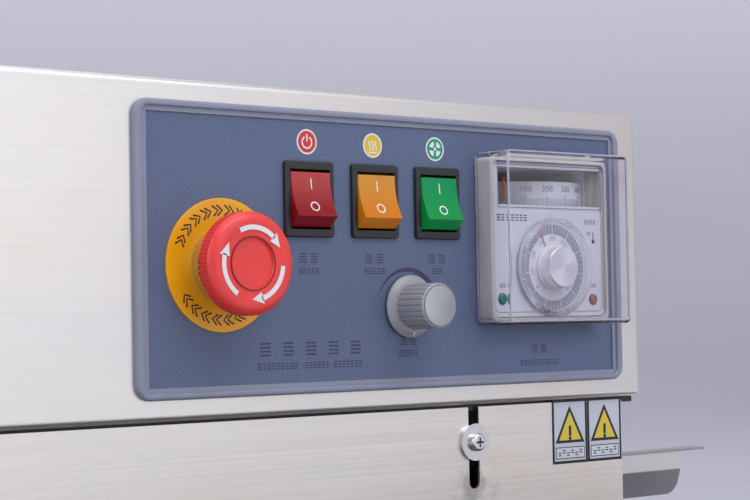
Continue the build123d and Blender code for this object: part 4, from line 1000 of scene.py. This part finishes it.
# ------------------------------------------------------------------ camera
CAM_PLACE = Vector((-0.38818, -0.64938, 0.22423))
CAM_YAW = math.radians(39.516)
CAM_PITCH = math.radians(2.155)
CAM_ROLL = math.radians(-1.049)
forward = Vector((math.sin(CAM_YAW) * math.cos(CAM_PITCH), math.cos(CAM_YAW) * math.cos(CAM_PITCH),
                  math.sin(CAM_PITCH)))
level = Vector((math.cos(CAM_YAW), -math.sin(CAM_YAW), 0.0))
upright = level.cross(forward)
right = level * math.cos(CAM_ROLL) + upright * math.sin(CAM_ROLL)
up = upright * math.cos(CAM_ROLL) - level * math.sin(CAM_ROLL)
camera_data = bpy.data.cameras.new("camera")
camera_data.lens = 90.96
camera_data.sensor_width = 36.0
camera_data.clip_start = 0.01
camera = bpy.data.objects.new("camera", camera_data)
SCENE.collection.objects.link(camera)
turn = Matrix((right, up, -forward)).transposed()
camera.matrix_world = Matrix.Translation(CAM_PLACE) @ turn.to_4x4()
SCENE.camera = camera


# ------------------------------------------------------------------ studio
def bowl():
    """A seamless studio floor that curves up all round."""
    rings = [(0.0, 0.0), (1.0, 0.0), (2.2, 0.0), (3.4, 0.0)]
    for step in range(1, 13):
        angle = math.radians(step * 7.5)
        rings.append((3.4 + 2.6 * math.sin(angle), 2.6 * (1 - math.cos(angle))))
    rings.append((6.0, 6.0))
    mesh = bpy.data.meshes.new("studio_floor")
    made = bmesh.new()
    sides = 96
    loops = []
    for radius, height in rings[1:]:
        loops.append([made.verts.new((radius * math.cos(2 * math.pi * k / sides),
                                      radius * math.sin(2 * math.pi * k / sides), height))
                      for k in range(sides)])
    centre = made.verts.new((0, 0, 0))
    for k in range(sides):
        made.faces.new((centre, loops[0][k], loops[0][(k + 1) % sides]))
    for low, high in zip(loops, loops[1:]):
        for k in range(sides):
            made.faces.new((low[k], high[k], high[(k + 1) % sides], low[(k + 1) % sides]))
    for face in made.faces:
        face.smooth = True
    made.to_mesh(mesh)
    made.free()
    floor = bpy.data.objects.new("studio_floor", mesh)
    SCENE.collection.objects.link(floor)
    p = Paint("studio paper")
    p.set(Roughness=0.9)
    mottle = p.ramp(p.noise(0.6), [(0.3, (0.50, 0.50, 0.56)), (0.7, (0.52, 0.52, 0.58))])
    # painted light: the floor turns paler near the machine, as a pool of light, and the walls turn paler as
    # they rise
    painted_pool_near = p.mix(p.ratio(p.part(p.coord, "Y"), 0.7, 0.0), mottle, (0.74, 0.74, 0.77))
    rise = p.ratio(p.part(p.coord, "Z"), 0.1, 1.3)
    mesh.materials.append(p.finish(p.mix(rise, painted_pool_near, (0.95, 0.95, 1.0))))


bowl()


def softbox(name, place, target, size, power):
    data = bpy.data.lights.new(name, "AREA")
    data.shape = "RECTANGLE"
    data.size, data.size_y = size
    data.energy = power
    lamp = bpy.data.objects.new(name, data)
    SCENE.collection.objects.link(lamp)
    lamp.location = place
    lamp.rotation_euler = (Vector(target) - Vector(place)).to_track_quat("-Z", "Y").to_euler()


softbox("front box", (0.85, -3.0, 1.2), (0.1, 0, 0.25), (2.6, 2.4), 15)
softbox("high front box", (0.4, -2.0, 2.9), (0, 0, 0.2), (3.0, 1.4), 42)
softbox("top box", (0.0, 0.3, 3.0), (0, 0, 0), (3.0, 2.4), 24)
softbox("left box", (-3.2, -0.8, 1.6), (0, 0, 0.2), (1.8, 2.2), 26)
softbox("back box", (1.5, 3.4, 2.2), (0, 0, 0.2), (2.4, 2.0), 20)
world = bpy.data.worlds.new("studio air")
world.use_nodes = True
world.node_tree.nodes["Background"].inputs["Color"].default_value = (0.78, 0.78, 0.84, 1)
world.node_tree.nodes["Background"].inputs["Strength"].default_value = 0.6
SCENE.world = world
